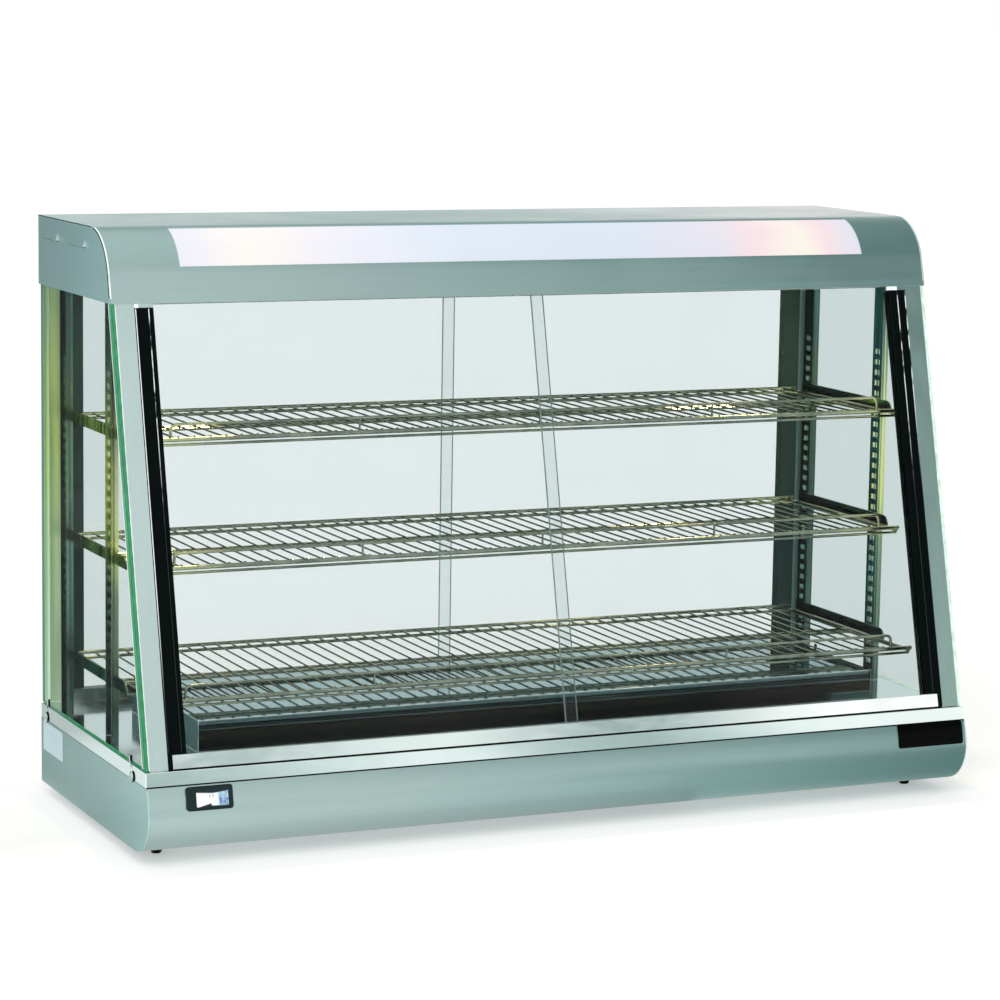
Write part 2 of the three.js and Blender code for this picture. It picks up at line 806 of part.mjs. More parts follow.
// A curved strip between two radii and two angles forward of straight up
function curvedStrip(innerRadius, outerRadius, startDegrees, endDegrees, x0, x1) {
  const start = Math.PI / 2 + THREE.MathUtils.degToRad(startDegrees);
  const end = Math.PI / 2 + THREE.MathUtils.degToRad(endDegrees);
  const outer = arcPoints(canopyCentre(), outerRadius, start, end, 12);
  const inner = arcPoints(canopyCentre(), innerRadius, end, start, 12);
  return alongX(shapeOf([...outer, ...inner]), x0, x1);
}

function canopyWrap() {
  const half = halfWidth - canopySheet - canopyEndGap;
  const skin = alongX(sheetShape(canopyPath(), canopySheet), -half, half);
  const window = curvedStrip(
    canopyRadius - canopySheet - cutOverrun, canopyRadius + cutOverrun,
    windowStartDegrees, windowEndDegrees, -windowHalf, windowHalf);
  return satinSteel('canopy_wrap', skin.subtract(window));
}

// Frosted panel that lies against the inside of the canopy's window
function lightPanel() {
  const outer = canopyRadius - canopySheet - seatGap;
  const body = curvedStrip(
    outer - panelThickness, outer, windowStartDegrees - panelLapDegrees,
    windowEndDegrees + panelLapDegrees, -windowHalf - panelLap, windowHalf + panelLap);
  return mesh('light_panel', body, 0xfdf8f4, 0.4, 0);
}

// End plate of the canopy with two pressed louvres that open downwards
function canopyEnd(side) {
  const inner = side * (halfWidth - canopySheet);
  const outer = side * halfWidth;
  let plate = alongX(shapeOf(canopyPath()), Math.min(inner, outer), Math.max(inner, outer));
  const top = caseHeight - louvreDrop;
  const bottom = top - louvreHeight;
  const half = louvreLength / 2;
  const flatStart = canopyCentre()[0];
  for (const share of louvreShares) {
    const y = flatStart + (rearY - flatStart) * share;
    const hood = shapeOf([
      [outer, top],
      [outer + side * louvreThrow, bottom],
      [inner, bottom],
      [inner, top],
    ]);
    const throat = shapeOf([
      [outer, top - louvreWall * 2],
      [outer + side * (louvreThrow - louvreWall), bottom - cutOverrun / 2],
      [inner - side * cutOverrun, bottom - cutOverrun / 2],
      [inner - side * cutOverrun, top - louvreWall * 2],
    ]);
    const below = block(
      Math.min(inner, outer) - cutOverrun, Math.max(inner, outer) + cutOverrun,
      y - half, y + half, bottom - cutOverrun, bottom);
    const hollow = alongY(throat, y - half + louvreWall, y + half - louvreWall).subtract(below);
    plate = plate.add(alongY(hood, y - half, y + half)).subtract(hollow);
  }
  return plate;
}

// Ceiling of the shelf space: a tray with turned-up edges and a light hole under each lamp
function canopyCeiling() {
  const back = rearY - canopySheet - seatGap;
  const flangeTop = ceilingZ + ceilingFlange;
  const path = [
    [planeY(flangeTop), flangeTop],
    [planeY(ceilingZ), ceilingZ],
    [back, ceilingZ],
    [back, flangeTop],
  ];
  let body = alongX(sheetShape(path, canopySheet), -glassOuterX, glassOuterX);
  for (const [, side] of sides) {
    body = body.subtract(block(
      side * lampX - lightHoleLength / 2, side * lampX + lightHoleLength / 2,
      lampY - lightHoleWidth / 2, lampY + lightHoleWidth / 2,
      ceilingZ - cutOverrun, ceilingZ + canopySheet + cutOverrun));
  }
  return brightSteel('canopy_ceiling', body);
}

// Turns a piece drawn about Z so that it points from the case's end towards its middle
function lampPlaced(body, side) {
  return moved(body, [0, -side * Math.PI / 2, 0], [side * lampBackX, lampY, lampZ]);
}

function lampHolder(side) {
  const bore = capRadius + socketClearance;
  const cup = turned([
    [0, 0],
    [bore + socketWall, 0],
    [bore + socketWall, socketBack + capDepth],
    [bore, socketBack + capDepth],
    [bore, socketBack - socketClearance],
    [0, socketBack - socketClearance],
  ], 16);
  const bottom = ceilingZ + canopySheet + seatGap;
  const back = side * (lampBackX - bracketSheet);
  const across = (x0, x1, top) => block(
    Math.min(x0, x1), Math.max(x0, x1), lampY - bracketWidth / 2, lampY + bracketWidth / 2,
    bottom, top);
  const plate = across(back, side * lampBackX, lampZ + bore + socketWall);
  const footPlate = across(back, back + side * bracketWidth / 2, bottom + bracketSheet);
  return lampPlaced(cup, side).add(plate).add(footPlate);
}

// Pear-shaped bulb with its cap in the holder
function bulb(side) {
  const domeZ = capLength + bulbLength - bulbRadius;
  const dome = arcPoints([0, domeZ], bulbRadius, 0, Math.PI / 2, 4).slice(0, -1);
  const body = turned([
    [0, 0],
    [capRadius, 0],
    [capRadius, capLength],
    [bulbNeck, capLength + socketWall],
    ...dome,
    [0, domeZ + bulbRadius],
  ], 16);
  return lampPlaced(moved(body, [0, 0, 0], [0, 0, socketBack]), side);
}

// Housing for two rocker switches, with a pocket for each rocker
function switchHousing() {
  const face = baseRearY + seatGap + switchPlate;
  let body = block(
    switchX - switchPlateWidth / 2, switchX + switchPlateWidth / 2, baseRearY + seatGap, face,
    controlZ - switchPlateHeight / 2, controlZ + switchPlateHeight / 2);
  body = body.add(block(
    switchX - switchBodyWidth / 2, switchX + switchBodyWidth / 2,
    baseRearY - switchBodyDepth, face, controlZ - switchBodyHeight / 2, controlZ + switchBodyHeight / 2));
  for (const [, side] of sides) {
    const x = switchX + side * rockerSpacing / 2;
    body = body.subtract(block(
      x - rockerWidth / 2 - rockerSideClearance, x + rockerWidth / 2 + rockerSideClearance,
      face - rockerDepth, face + cutOverrun,
      controlZ - rockerHalf - rockerClearance, controlZ + rockerHalf + rockerClearance));
  }
  return blackPlastic('switch_housing', body);
}

// Rocker: a dished face above a rounded root that turns about its pivot
function rocker(side) {
  const root = arcPoints([0, 0], rockerRootRadius, Math.PI * rockerRootShare,
    Math.PI * (2 - rockerRootShare), 6);
  const outline = shapeOf([
    [rockerRise, -rockerHalf],
    [rockerRise - rockerDish, 0],
    [rockerRise, rockerHalf],
    [0, rockerHalf],
    ...root,
    [0, -rockerHalf],
  ]);
  const x = side * rockerSpacing / 2;
  const body = alongX(outline, x - rockerWidth / 2, x + rockerWidth / 2);
  const pivotY = baseRearY + seatGap + switchPlate - rockerRise + rockerDish;
  const rest = THREE.MathUtils.degToRad(rockerRestDegrees);
  return moved(body, [-rest, 0, 0], [switchX, pivotY, controlZ]);
}

// Moves a piece drawn about Z, with Z = 0 on the outside of the rear panel, to its place there
function rearPlaced(body, x) {
  return moved(body, [-Math.PI / 2, 0, 0], [x, baseRearY, controlZ]);
}

function thermostatBody() {
  const front = -baseSheet - seatGap;
  const body = block(
    -thermostatWidth / 2, thermostatWidth / 2, -thermostatHeight / 2, thermostatHeight / 2,
    front - thermostatDepth, front);
  const hole = rod(shaftRadius + seatGap, front - shaftDepth - seatGap, front + cutOverrun);
  return blackPlastic('thermostat_body', rearPlaced(body.subtract(hole), knobX));
}

// Thermostat knob with a straight grip and its shaft
function thermostatKnob() {
  const waist = knobRadius - knobBase;
  const skirtTop = knobStandoff + knobBase;
  const gripTop = knobStandoff + knobDepth;
  const faceTop = gripTop - knobGripRise;
  const body = turned([
    [0, -baseSheet - seatGap - shaftDepth],
    [shaftRadius, -baseSheet - seatGap - shaftDepth],
    [shaftRadius, knobStandoff],
    [knobRadius, knobStandoff],
    [knobRadius, skirtTop],
    [waist, skirtTop + knobBase],
    [waist, faceTop],
    [0, faceTop],
  ], 24);
  const grip = block(-knobGrip / 2, knobGrip / 2, -waist, waist, skirtTop, gripTop);
  return blackPlastic('thermostat_knob', rearPlaced(body.add(grip), knobX));
}

// Gland for the supply lead, with its nut inside the panel
function cableGland() {
  const inside = -baseSheet - seatGap;
  const nutTail = inside - glandNut / 2;
  const body = turned([
    [glandBore, -glandTail],
    [glandNeckRadius, -glandTail],
    [glandNeckRadius, nutTail],
    [glandRadius, nutTail],
    [glandRadius, inside],
    [glandNeckRadius, inside],
    [glandNeckRadius, seatGap],
    [glandRadius, seatGap],
    [glandRadius, glandNut],
    [glandNeckRadius, glandNut],
    [glandNeckRadius - glandTaper, glandNose],
    [glandBore, glandNose],
    [glandBore, -glandTail],
  ], 16);
  return blackPlastic('cable_gland', rearPlaced(body, glandX));
}

// Strap that holds the foot of a side glass: it runs up from the base over the deck's rim and
// steps in to the glass
function glassClip(side, y, lap) {
  const low = halfWidth + seatGap;
  const high = glassOuterX + seatGap;
  const path = [
    [side * high, deckTop + clipRise],
    [side * high, deckTop + clipStep],
    [side * low, deckTop + seatGap],
    [side * low, bandBottom - lap],
  ];
  if (side < 0) path.reverse();
  return alongY(sheetShape(path, clipSheet), y - clipWidth / 2, y + clipWidth / 2);
}

// The two glazed faces, each turned into its place
function placedFaces() {
  const front = glazedFace('front', slant);
  front.position.set(0, planeFootY, deckTop);
  front.rotation.x = -slant;
  const rear = glazedFace('rear', 0);
  rear.position.set(0, baseRearY, deckTop);
  rear.rotation.z = Math.PI;
  return [front, rear];
}

const model = new THREE.Group();
model.add(baseBody(), deck(), heatingElement(), heaterCover(), thermometer());
model.add(...placedFaces());
for (const [name, side] of sides) {
  for (const [end, direction, postY] of [['front', -1, frontPostY], ['rear', 1, rearPostY]]) {
    const x = side * (halfWidth - footInsetX);
    model.add(foot(`foot_${end}_${name}`, x, direction * (rearY - footInsetY)));
    model.add(brightSteel(`shelf_post_${end}_${name}`, shelfPost(side, postY)));
  }
  shelfNames.forEach((shelf, i) => {
    model.add(brightSteel(`shelf_arm_${shelf}_${name}`, shelfArm(side, shelfSlots[i])));
  });
  for (const [end, y, lap] of clipPlaces) {
    model.add(polishedSteel(`glass_clip_${end}_${name}`, glassClip(side, y, lap)));
  }
  model.add(clearGlass(`side_glass_${name}`, sidePane(side)));
  model.add(satinSteel(`canopy_end_${name}`, canopyEnd(side)));
  model.add(mesh(`lamp_holder_${name}`, lampHolder(side), 0xe8e4da, 0.5, 0));
  model.add(mesh(`bulb_${name}`, bulb(side), 0xfff0d8, 0.2, 0));
}
shelfNames.forEach((shelf, i) => {
  model.add(brightSteel(`wire_shelf_${shelf}`, wireShelf(shelfSlots[i], shelfSetbacks[i])));
});
model.add(canopyWrap(), lightPanel(), canopyCeiling());
model.add(switchHousing(), thermostatBody(), thermostatKnob(), cableGland());
model.add(blackPlastic('light_rocker', rocker(-1)), blackPlastic('power_rocker', rocker(1)));

export default model;
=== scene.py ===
# Looks of the heated display case: materials, glass, round shelf wires, small fittings, light and camera.
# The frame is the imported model's: X right, Y back, Z up, origin on the table. Materials, studio cards, lamps
# and camera are in metres. New pieces are drawn in millimetres and brought to metres with MM.
import json
import math

import bmesh
import bpy
from mathutils import Matrix, Vector

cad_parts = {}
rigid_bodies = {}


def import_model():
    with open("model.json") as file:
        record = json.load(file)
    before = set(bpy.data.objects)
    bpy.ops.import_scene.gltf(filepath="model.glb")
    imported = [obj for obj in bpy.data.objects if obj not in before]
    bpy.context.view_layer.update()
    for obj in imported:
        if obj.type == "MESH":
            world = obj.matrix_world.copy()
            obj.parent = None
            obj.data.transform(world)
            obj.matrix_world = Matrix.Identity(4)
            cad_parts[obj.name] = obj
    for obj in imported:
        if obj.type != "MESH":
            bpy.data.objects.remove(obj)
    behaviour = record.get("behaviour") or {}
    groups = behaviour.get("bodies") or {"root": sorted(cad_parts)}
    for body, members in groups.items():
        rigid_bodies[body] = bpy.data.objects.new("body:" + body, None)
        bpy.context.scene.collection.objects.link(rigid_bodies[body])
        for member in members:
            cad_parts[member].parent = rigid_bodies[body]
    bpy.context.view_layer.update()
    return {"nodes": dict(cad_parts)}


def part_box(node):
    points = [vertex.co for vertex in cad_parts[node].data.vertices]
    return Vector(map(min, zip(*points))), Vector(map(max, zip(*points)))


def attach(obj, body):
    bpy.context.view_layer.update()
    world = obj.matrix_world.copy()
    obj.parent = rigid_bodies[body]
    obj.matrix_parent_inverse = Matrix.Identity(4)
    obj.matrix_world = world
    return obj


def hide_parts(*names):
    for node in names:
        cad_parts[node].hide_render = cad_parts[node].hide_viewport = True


MM = 0.001
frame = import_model()
nodes = frame["nodes"]


scene_objects = bpy.context.scene.collection.objects

SIGNS = {"left": -1, "right": 1}
FACES = ("front", "rear")
SHELVES = ("top", "middle", "bottom")

# Sizes of the case that patterns and new pieces follow, in millimetres
DECK = 126
CEILING = 724
CANOPY_TOP = 798
CANOPY_FOOT = 704.5
CANOPY_CURVE_RADIUS = 75
CANOPY_CURVE_Y = -1.88
END_SKIN = 600
GLAZING_SLANT = math.radians(13.65)
GLAZING_FOOT_Y = -222.5
BASE_FRONT_Y = -237.5
BASE_APEX = 71
BASE_UPPER_RADIUS = 85
BASE_LOWER_RADIUS = 55


# Shader building

# Sockets of a color Mix node, which has one set for each kind of value
MIX_FACTOR, MIX_FIRST, MIX_SECOND, MIX_RESULT = 0, 6, 7, 2
WHITE = (1.0, 1.0, 1.0)
BLACK = (0.0, 0.0, 0.0)
# The range that a noise pattern hardly leaves
NOISE_LOW, NOISE_HIGH = 0.3, 0.7


class Look:
    """A node material around one Principled shader, with short helpers for its patterns."""

    def __init__(self, name):
        self.material = bpy.data.materials.new(name)
        self.material.use_nodes = True
        self.tree = self.material.node_tree
        self.shader = self.tree.nodes["Principled BSDF"]
        self.output = self.tree.nodes["Material Output"]
        self.place = self.node("ShaderNodeTexCoord").outputs["Object"]

    def node(self, kind, **settings):
        made = self.tree.nodes.new(kind)
        for key, value in settings.items():
            setattr(made, key, value)
        return made

    def link(self, source, target):
        self.tree.links.new(source, target)

    def feed(self, socket, value):
        """Gives a socket the output of another node, a color or a number."""
        if hasattr(value, "is_output"):
            self.link(value, socket)
        elif hasattr(value, "__len__"):
            socket.default_value = (*value, 1.0)
        else:
            socket.default_value = value

    def set(self, **values):
        """Sets constants of the Principled shader; an underscore stands for a space in a socket's name."""
        for key, value in values.items():
            self.shader.inputs[key.replace("_", " ")].default_value = value
        return self

    def math(self, operation, first, second=0.0, clamp=False):
        made = self.node("ShaderNodeMath", operation=operation, use_clamp=clamp)
        self.feed(made.inputs[0], first)
        self.feed(made.inputs[1], second)
        return made.outputs[0]

    def noise(self, scale, detail=3.0, roughness=0.55, distortion=0.0, shift=(0, 0, 0)):
        """Noise in the space of the object; the scale is one number, or one for each axis."""
        if not hasattr(scale, "__len__"):
            scale = (scale, scale, scale)
        stretched = self.node("ShaderNodeMapping")
        stretched.inputs["Scale"].default_value = scale
        stretched.inputs["Location"].default_value = shift
        self.link(self.place, stretched.inputs["Vector"])
        made = self.node("ShaderNodeTexNoise")
        numbers = {"Scale": 1.0, "Detail": detail, "Roughness": roughness, "Distortion": distortion}
        for name, number in numbers.items():
            made.inputs[name].default_value = number
        self.link(stretched.outputs["Vector"], made.inputs["Vector"])
        return made.outputs["Fac"]

    def remap(self, value, low, high, to_low=0.0, to_high=1.0, smooth=False):
        """Brings a value from one range to another, and holds it at the ends."""
        course = "SMOOTHSTEP" if smooth else "LINEAR"
        made = self.node("ShaderNodeMapRange", clamp=True, interpolation_type=course)
        numbers = {"From Min": low, "From Max": high, "To Min": to_low, "To Max": to_high}
        for name, number in numbers.items():
            made.inputs[name].default_value = number
        self.link(value, made.inputs["Value"])
        return made.outputs["Result"]

    def spread(self, noise, low, high):
        """Brings a noise pattern to a range of numbers."""
        return self.remap(noise, NOISE_LOW, NOISE_HIGH, low, high)

    def ramp(self, value, stops):
        """Colors at places between 0 and 1."""
        made = self.node("ShaderNodeValToRGB")
        elements = made.color_ramp.elements
        while len(elements) < len(stops):
            elements.new(0.5)
        for element, (place, color) in zip(elements, stops):
            element.position = place
            element.color = (*color, 1.0)
        self.link(value, made.inputs["Fac"])
        return made.outputs["Color"]

    def between(self, noise, first, second):
        """Brings a noise pattern to the colors between two."""
        return self.ramp(noise, ((NOISE_LOW, first), (NOISE_HIGH, second)))

    def graded(self, value, stops):
        """Colors at places along a value, given in that value's own unit."""
        low, high = stops[0][0], stops[-1][0]
        shares = [((place - low) / (high - low), color) for place, color in stops]
        return self.ramp(self.remap(value, low, high), shares)

    def mixed(self, factor, first, second, blend="MIX"):
        made = self.node("ShaderNodeMix", data_type="RGBA", blend_type=blend)
        self.feed(made.inputs[MIX_FACTOR], factor)
        self.feed(made.inputs[MIX_FIRST], first)
        self.feed(made.inputs[MIX_SECOND], second)
        return made.outputs[MIX_RESULT]

    def times(self, first, second):
        return self.mixed(1.0, first, second, "MULTIPLY")

    def part(self, vector, axis):
        split = self.node("ShaderNodeSeparateXYZ")
        self.link(vector, split.inputs[0])
        return split.outputs[axis]

    def along(self, axis):
        """Place along an axis of the object, in metres."""
        return self.part(self.place, axis)

    def toward(self, axis):
        """Part of the surface's direction that lies along an axis of the object, -1 to 1."""
        return self.part(self.node("ShaderNodeTexCoord").outputs["Normal"], axis)

    def facing(self, axis):
        """How squarely the surface faces an axis of the object, either way, 0 to 1."""
        return self.math("ABSOLUTE", self.toward(axis))

    def color(self, source):
        self.link(source, self.shader.inputs["Base Color"])

    def rough(self, source):
        self.link(source, self.shader.inputs["Roughness"])

    def glow(self, source, strength):
        self.link(source, self.shader.inputs["Emission Color"])
        self.set(Emission_Strength=strength)

    def bump(self, height, distance, strength):
        """Relief of the surface; the distance is in millimetres."""
        made = self.node("ShaderNodeBump")
        made.inputs["Distance"].default_value = distance * MM
        made.inputs["Strength"].default_value = strength
        self.link(height, made.inputs["Height"])
        self.link(made.outputs["Normal"], self.shader.inputs["Normal"])

    def surface(self, shader):
        """Shows another shader in place of the Principled one."""
        self.link(shader, self.output.inputs["Surface"])


def tint(color, factor):
    return tuple(min(1.0, channel * factor) for channel in color)


def plain(color):
    """Color stops of one color."""
    return (0.0, color), (1.0, color)


def greys(*stops):
    """Color stops of grey levels."""
    return tuple((place, (level, level, level)) for place, level in stops)


# Steel

def brushed(name, color, roughness, lines=(6, 700, 700), variation=0.06, smudge=0.05, sides=(), front=()):
    """Rolled or ground steel: fine lines along one axis and cloudy smudges.

    The faces towards X may be graded along Y by the stops in sides, and the faces towards Y along X by the
    stops in front; these grades are painted light and shade.
    """
    look = Look(name).set(Metallic=1.0)
    fine = look.noise(lines, 4.0, 0.6)
    broad = look.noise(tuple(value * 0.12 for value in lines), 3.0, 0.5, shift=(3.1, 1.7, 0.4))
    cloud = look.noise(7.0, 4.0, 0.6, 0.6, shift=(0.7, 2.3, 5.1))
    tone = look.math("ADD", look.math("MULTIPLY", fine, 0.55), look.math("MULTIPLY", broad, 0.45))
    dark, light = tint(color, 1 - variation), tint(color, 1 + variation)
    shade = look.ramp(tone, ((NOISE_LOW, dark), (0.5, color), (NOISE_HIGH, light)))
    for stops, run, face, turned in ((sides, "Y", "X", (0.6, 0.9)), (front, "X", "Y", (0.35, 0.8))):
        if stops:
            painted_grade = look.graded(look.along(run), stops)
            shade = look.times(shade, look.mixed(look.remap(look.facing(face), *turned), WHITE, painted_grade))
    look.color(shade)
    grain = look.spread(tone, roughness - 0.03, roughness + 0.04)
    look.rough(look.math("ADD", grain, look.remap(cloud, 0.35, 0.75, -smudge * 0.5, smudge), clamp=True))
    look.bump(tone, 0.3, 0.35)
    return look.material


def height_share(look, low=DECK, high=CEILING, wave=None):
    """Height as a share of a range in millimetres, which by default goes from the deck to the ceiling."""
    height = look.along("Z")
    if wave:
        height = look.math("ADD", height, wave)
    return look.remap(height, low * MM, high * MM)


def two_tone(name, web, flange, roughness, lines):
    """Folded sheet in painted light and shade: webs and flanges colored apart by the way they face, painted
    reflection streaks, and color stops that run from the deck to the ceiling.
    """
    look = Look(name).set(Metallic=1.0, Specular_Tint=(0.16, 0.22, 0.20, 1.0))
    fine = look.noise(lines, 4.0, 0.6)
    # A small wobble in the height where the painted color stops change
    height_wobble = look.spread(look.noise((9, 9, 4), 3.0, 0.6, 0.4), -0.02, 0.02)
    height = height_share(look, wave=height_wobble)
    # Painted reflection streaks, which darken or brighten the color up and down
    painted_reflection_noise = look.noise((230, 230, 1.4), 2.0, 0.5, shift=(0.2, 0.6, 0.1))
    painted_streak_shade = look.ramp(painted_reflection_noise, ((0.36, (0.35, 0.38, 0.36)), (0.50, WHITE), (0.64, (1.9, 1.85, 1.7))))
    sideways = look.remap(look.facing("X"), 0.55, 0.8)
    look.color(look.times(look.mixed(sideways, look.ramp(height, flange), look.ramp(height, web)), painted_streak_shade))
    look.rough(look.spread(fine, roughness - 0.03, roughness + 0.05))
    look.bump(fine, 0.02, 0.3)
    return look.material


def polished(name, color, roughness):
    """Mirror steel with light wipe marks and tiny ripples in its reflection."""
    look = Look(name).set(Metallic=1.0)
    wipe = look.noise((14, 40, 40), 5.0, 0.65, 1.2)
    cloud = look.noise(5.0, 3.0, 0.5, shift=(2.0, 0.3, 1.1))
    look.color(look.between(wipe, tint(color, 0.97), tint(color, 1.03)))
    marks = look.remap(wipe, 0.4, 0.75, roughness, roughness + 0.05)
    look.rough(look.math("ADD", marks, look.remap(cloud, 0.4, 0.8, 0.0, 0.05)))
    look.bump(cloud, 0.4, 0.25)
    return look.material


STEEL = (0.44, 0.565, 0.55)
END_STEEL = (0.40, 0.54, 0.55)
STRIP = (0.47, 0.585, 0.555)
# The left and right uprights take a lit and a shaded copy of one steel: painted light and shade
STRIP_LEFT_PAINTED_LIGHT = (0.53, 0.635, 0.625)
STRIP_RIGHT_PAINTED_SHADE = (0.393, 0.527, 0.495)
STRIP_SHADED = (0.19, 0.30, 0.28)
BRIGHT = (0.47, 0.545, 0.505)
MIRROR = (0.86, 0.92, 0.90)
UPRIGHT_LINES = (700, 700, 7)
POST_LINES = (500, 500, 9)
ARM_LINES = (500, 8, 500)

# Painted light and shade: grey levels that lighten or darken the steel's sides along Y and its front along X
BASE_SIDE_PAINTED_SHADE = greys((-0.24, 1.45), (-0.17, 1.28), (-0.10, 1.13), (0.0, 1.03), (0.10, 0.98), (0.24, 0.92))
CANOPY_SIDE_PAINTED_SHADE = greys((-0.08, 1.25), (0.0, 1.13), (0.06, 1.05), (0.12, 1.0), (0.24, 0.93))
FRONT_PAINTED_SHADE = (
    (-0.6, (1.03, 1.02, 1.02)), (-0.3, (1.03, 1.01, 1.01)), (0.0, (0.93, 0.965, 0.97)),
    (0.25, (0.87, 0.94, 0.94)), (0.40, (0.79, 0.88, 0.88)), (0.60, (0.70, 0.80, 0.81)))

satin = brushed("satin_steel_lengthways", STEEL, 0.36, sides=BASE_SIDE_PAINTED_SHADE, front=FRONT_PAINTED_SHADE)
# A lighter, glossier copy of the satin steel for rims: a painted highlight along the edges
satin_rim_highlight = brushed("satin_steel_rim_highlight", tint(STEEL, 1.35), 0.24, variation=0.04)
end_satin = brushed("satin_steel_ends", END_STEEL, 0.38, lines=(700, 9, 700), sides=CANOPY_SIDE_PAINTED_SHADE)
strips = {side: brushed("satin_frame_upright_" + side, color, 0.32, lines=UPRIGHT_LINES)
          for side, color in (("left", STRIP_LEFT_PAINTED_LIGHT), ("right", STRIP_RIGHT_PAINTED_SHADE))}
# A lighter copy of the frame steel for rims: a painted highlight
strip_rim_highlight = brushed("satin_frame_rim_highlight", tint(STRIP, 1.4), 0.2, lines=UPRIGHT_LINES, variation=0.04)

# Webs and flanges of the slotted uprights in painted light and shade: each upright takes its own lit or shaded
# copy, and painted warm lamp light lies in the middle of some
POST_WEB_PAINTED_LIGHT = {
    ("front", "left"): (
        (0.0, (0.07, 0.12, 0.10)), (0.34, (0.11, 0.17, 0.11)), (0.46, (0.48, 0.54, 0.18)),
        (0.60, (0.56, 0.62, 0.22)), (0.72, (0.44, 0.54, 0.32)), (0.84, (0.46, 0.68, 0.60)),
        (1.0, (0.50, 0.76, 0.70))),
    ("front", "right"): plain((0.032, 0.078, 0.076)),
    ("rear", "left"): (
        (0.0, (0.11, 0.20, 0.17)), (0.40, (0.09, 0.16, 0.12)), (0.55, (0.24, 0.29, 0.13)),
        (0.66, (0.30, 0.35, 0.15)), (0.80, (0.09, 0.15, 0.11)), (1.0, (0.09, 0.16, 0.13))),
    ("rear", "right"): plain((0.028, 0.070, 0.068)),
}
POST_FLANGE_PAINTED_LIGHT = {
    "front": (
        (0.0, (0.11, 0.18, 0.15)), (0.34, (0.20, 0.27, 0.18)), (0.46, (0.62, 0.68, 0.26)),
        (0.60, (0.80, 0.85, 0.40)), (0.74, (0.46, 0.54, 0.34)), (0.86, (0.26, 0.33, 0.28)),
        (1.0, (0.15, 0.22, 0.21))),
    "rear": (
        (0.0, (0.10, 0.18, 0.155)), (0.40, (0.105, 0.185, 0.15)), (0.58, (0.13, 0.21, 0.14)),
        (0.70, (0.15, 0.22, 0.14)), (0.80, (0.10, 0.18, 0.15)), (1.0, (0.07, 0.15, 0.14))),
}
posts = {}
for (face, side), web in POST_WEB_PAINTED_LIGHT.items():
    name = f"bright_steel_upright_{face}_{side}"
    posts[face, side] = two_tone(name, web, POST_FLANGE_PAINTED_LIGHT[face], 0.22, POST_LINES)
# A lighter copy of the bright steel for rims: a painted highlight
bright_rim_highlight = brushed("bright_steel_rim_highlight", tint(BRIGHT, 1.5), 0.15, lines=POST_LINES, variation=0.05)
bright_long = brushed("bright_steel_lengthways", BRIGHT, 0.26, lines=(7, 500, 500), variation=0.08)

# Arms in painted light and shade: the left ones warmed by painted lamp light, the right ones dark
ARM_WEB_PAINTED_LIGHT = {
    "left": (
        (0.0, (0.07, 0.15, 0.13)), (0.22, (0.08, 0.17, 0.14)), (0.42, (0.20, 0.26, 0.11)),
        (0.68, (0.32, 0.39, 0.14)), (1.0, (0.30, 0.36, 0.16))),
    "right": plain((0.03, 0.047, 0.034)),
}
ARM_FLANGE_PAINTED_LIGHT = (
    (0.0, (0.13, 0.19, 0.15)), (0.40, (0.18, 0.23, 0.14)), (0.70, (0.26, 0.29, 0.12)),
    (1.0, (0.2, 0.25, 0.15)))
arms = {side: two_tone("bright_steel_arms_" + side, web, ARM_FLANGE_PAINTED_LIGHT, 0.24, ARM_LINES)
        for side, web in ARM_WEB_PAINTED_LIGHT.items()}
mirror = polished("polished_steel_sheet", MIRROR, 0.07)
# A lighter copy of the mirror steel for rims: a painted highlight
mirror_rim_highlight = polished("polished_steel_rim_highlight", (0.92, 0.95, 0.93), 0.05)
track_steel = polished("polished_steel_track", MIRROR, 0.12)


def lamp_side_strip():
    """Rear frame strip with painted warm lamp light, as painted reflection and painted glow, over most of its
    height, save on its rear face.
    """
    look = Look("satin_frame_painted_lamp_light").set(Metallic=1.0)
    rear = look.remap(look.toward("Y"), 0.6, 0.8)
    fine = look.noise(UPRIGHT_LINES, 4.0, 0.6)
    height = height_share(look)
    shade = look.ramp(height, (
        (0.0, (0.95, 1.0, 0.80)), (0.35, (0.90, 0.92, 0.52)), (0.60, (0.86, 0.79, 0.24)),
        (0.78, (0.62, 0.60, 0.22)), (0.93, (0.28, 0.30, 0.19)), (1.0, (0.25, 0.27, 0.18))))
    # Painted glow of the warm lamp light, which the rear face lacks
    painted_lamp_glow = look.ramp(height, (
        (0.0, (0.27, 0.36, 0.23)), (0.30, (0.17, 0.27, 0.15)), (0.60, (0.13, 0.23, 0.09)),
        (1.0, (0.13, 0.22, 0.11))))
    look.glow(look.mixed(rear, painted_lamp_glow, BLACK), 1.0)
    grain = look.between(fine, (0.92, 0.92, 0.92), WHITE)
    look.color(look.times(look.mixed(rear, shade, STRIP_SHADED), grain))
    look.rough(look.spread(fine, 0.31, 0.38))
    look.bump(fine, 0.2, 0.35)
    return look.material


strip_lamp_painted = lamp_side_strip()
strip_shaded = brushed("satin_frame_shaded_side", STRIP_SHADED, 0.34, lines=UPRIGHT_LINES)


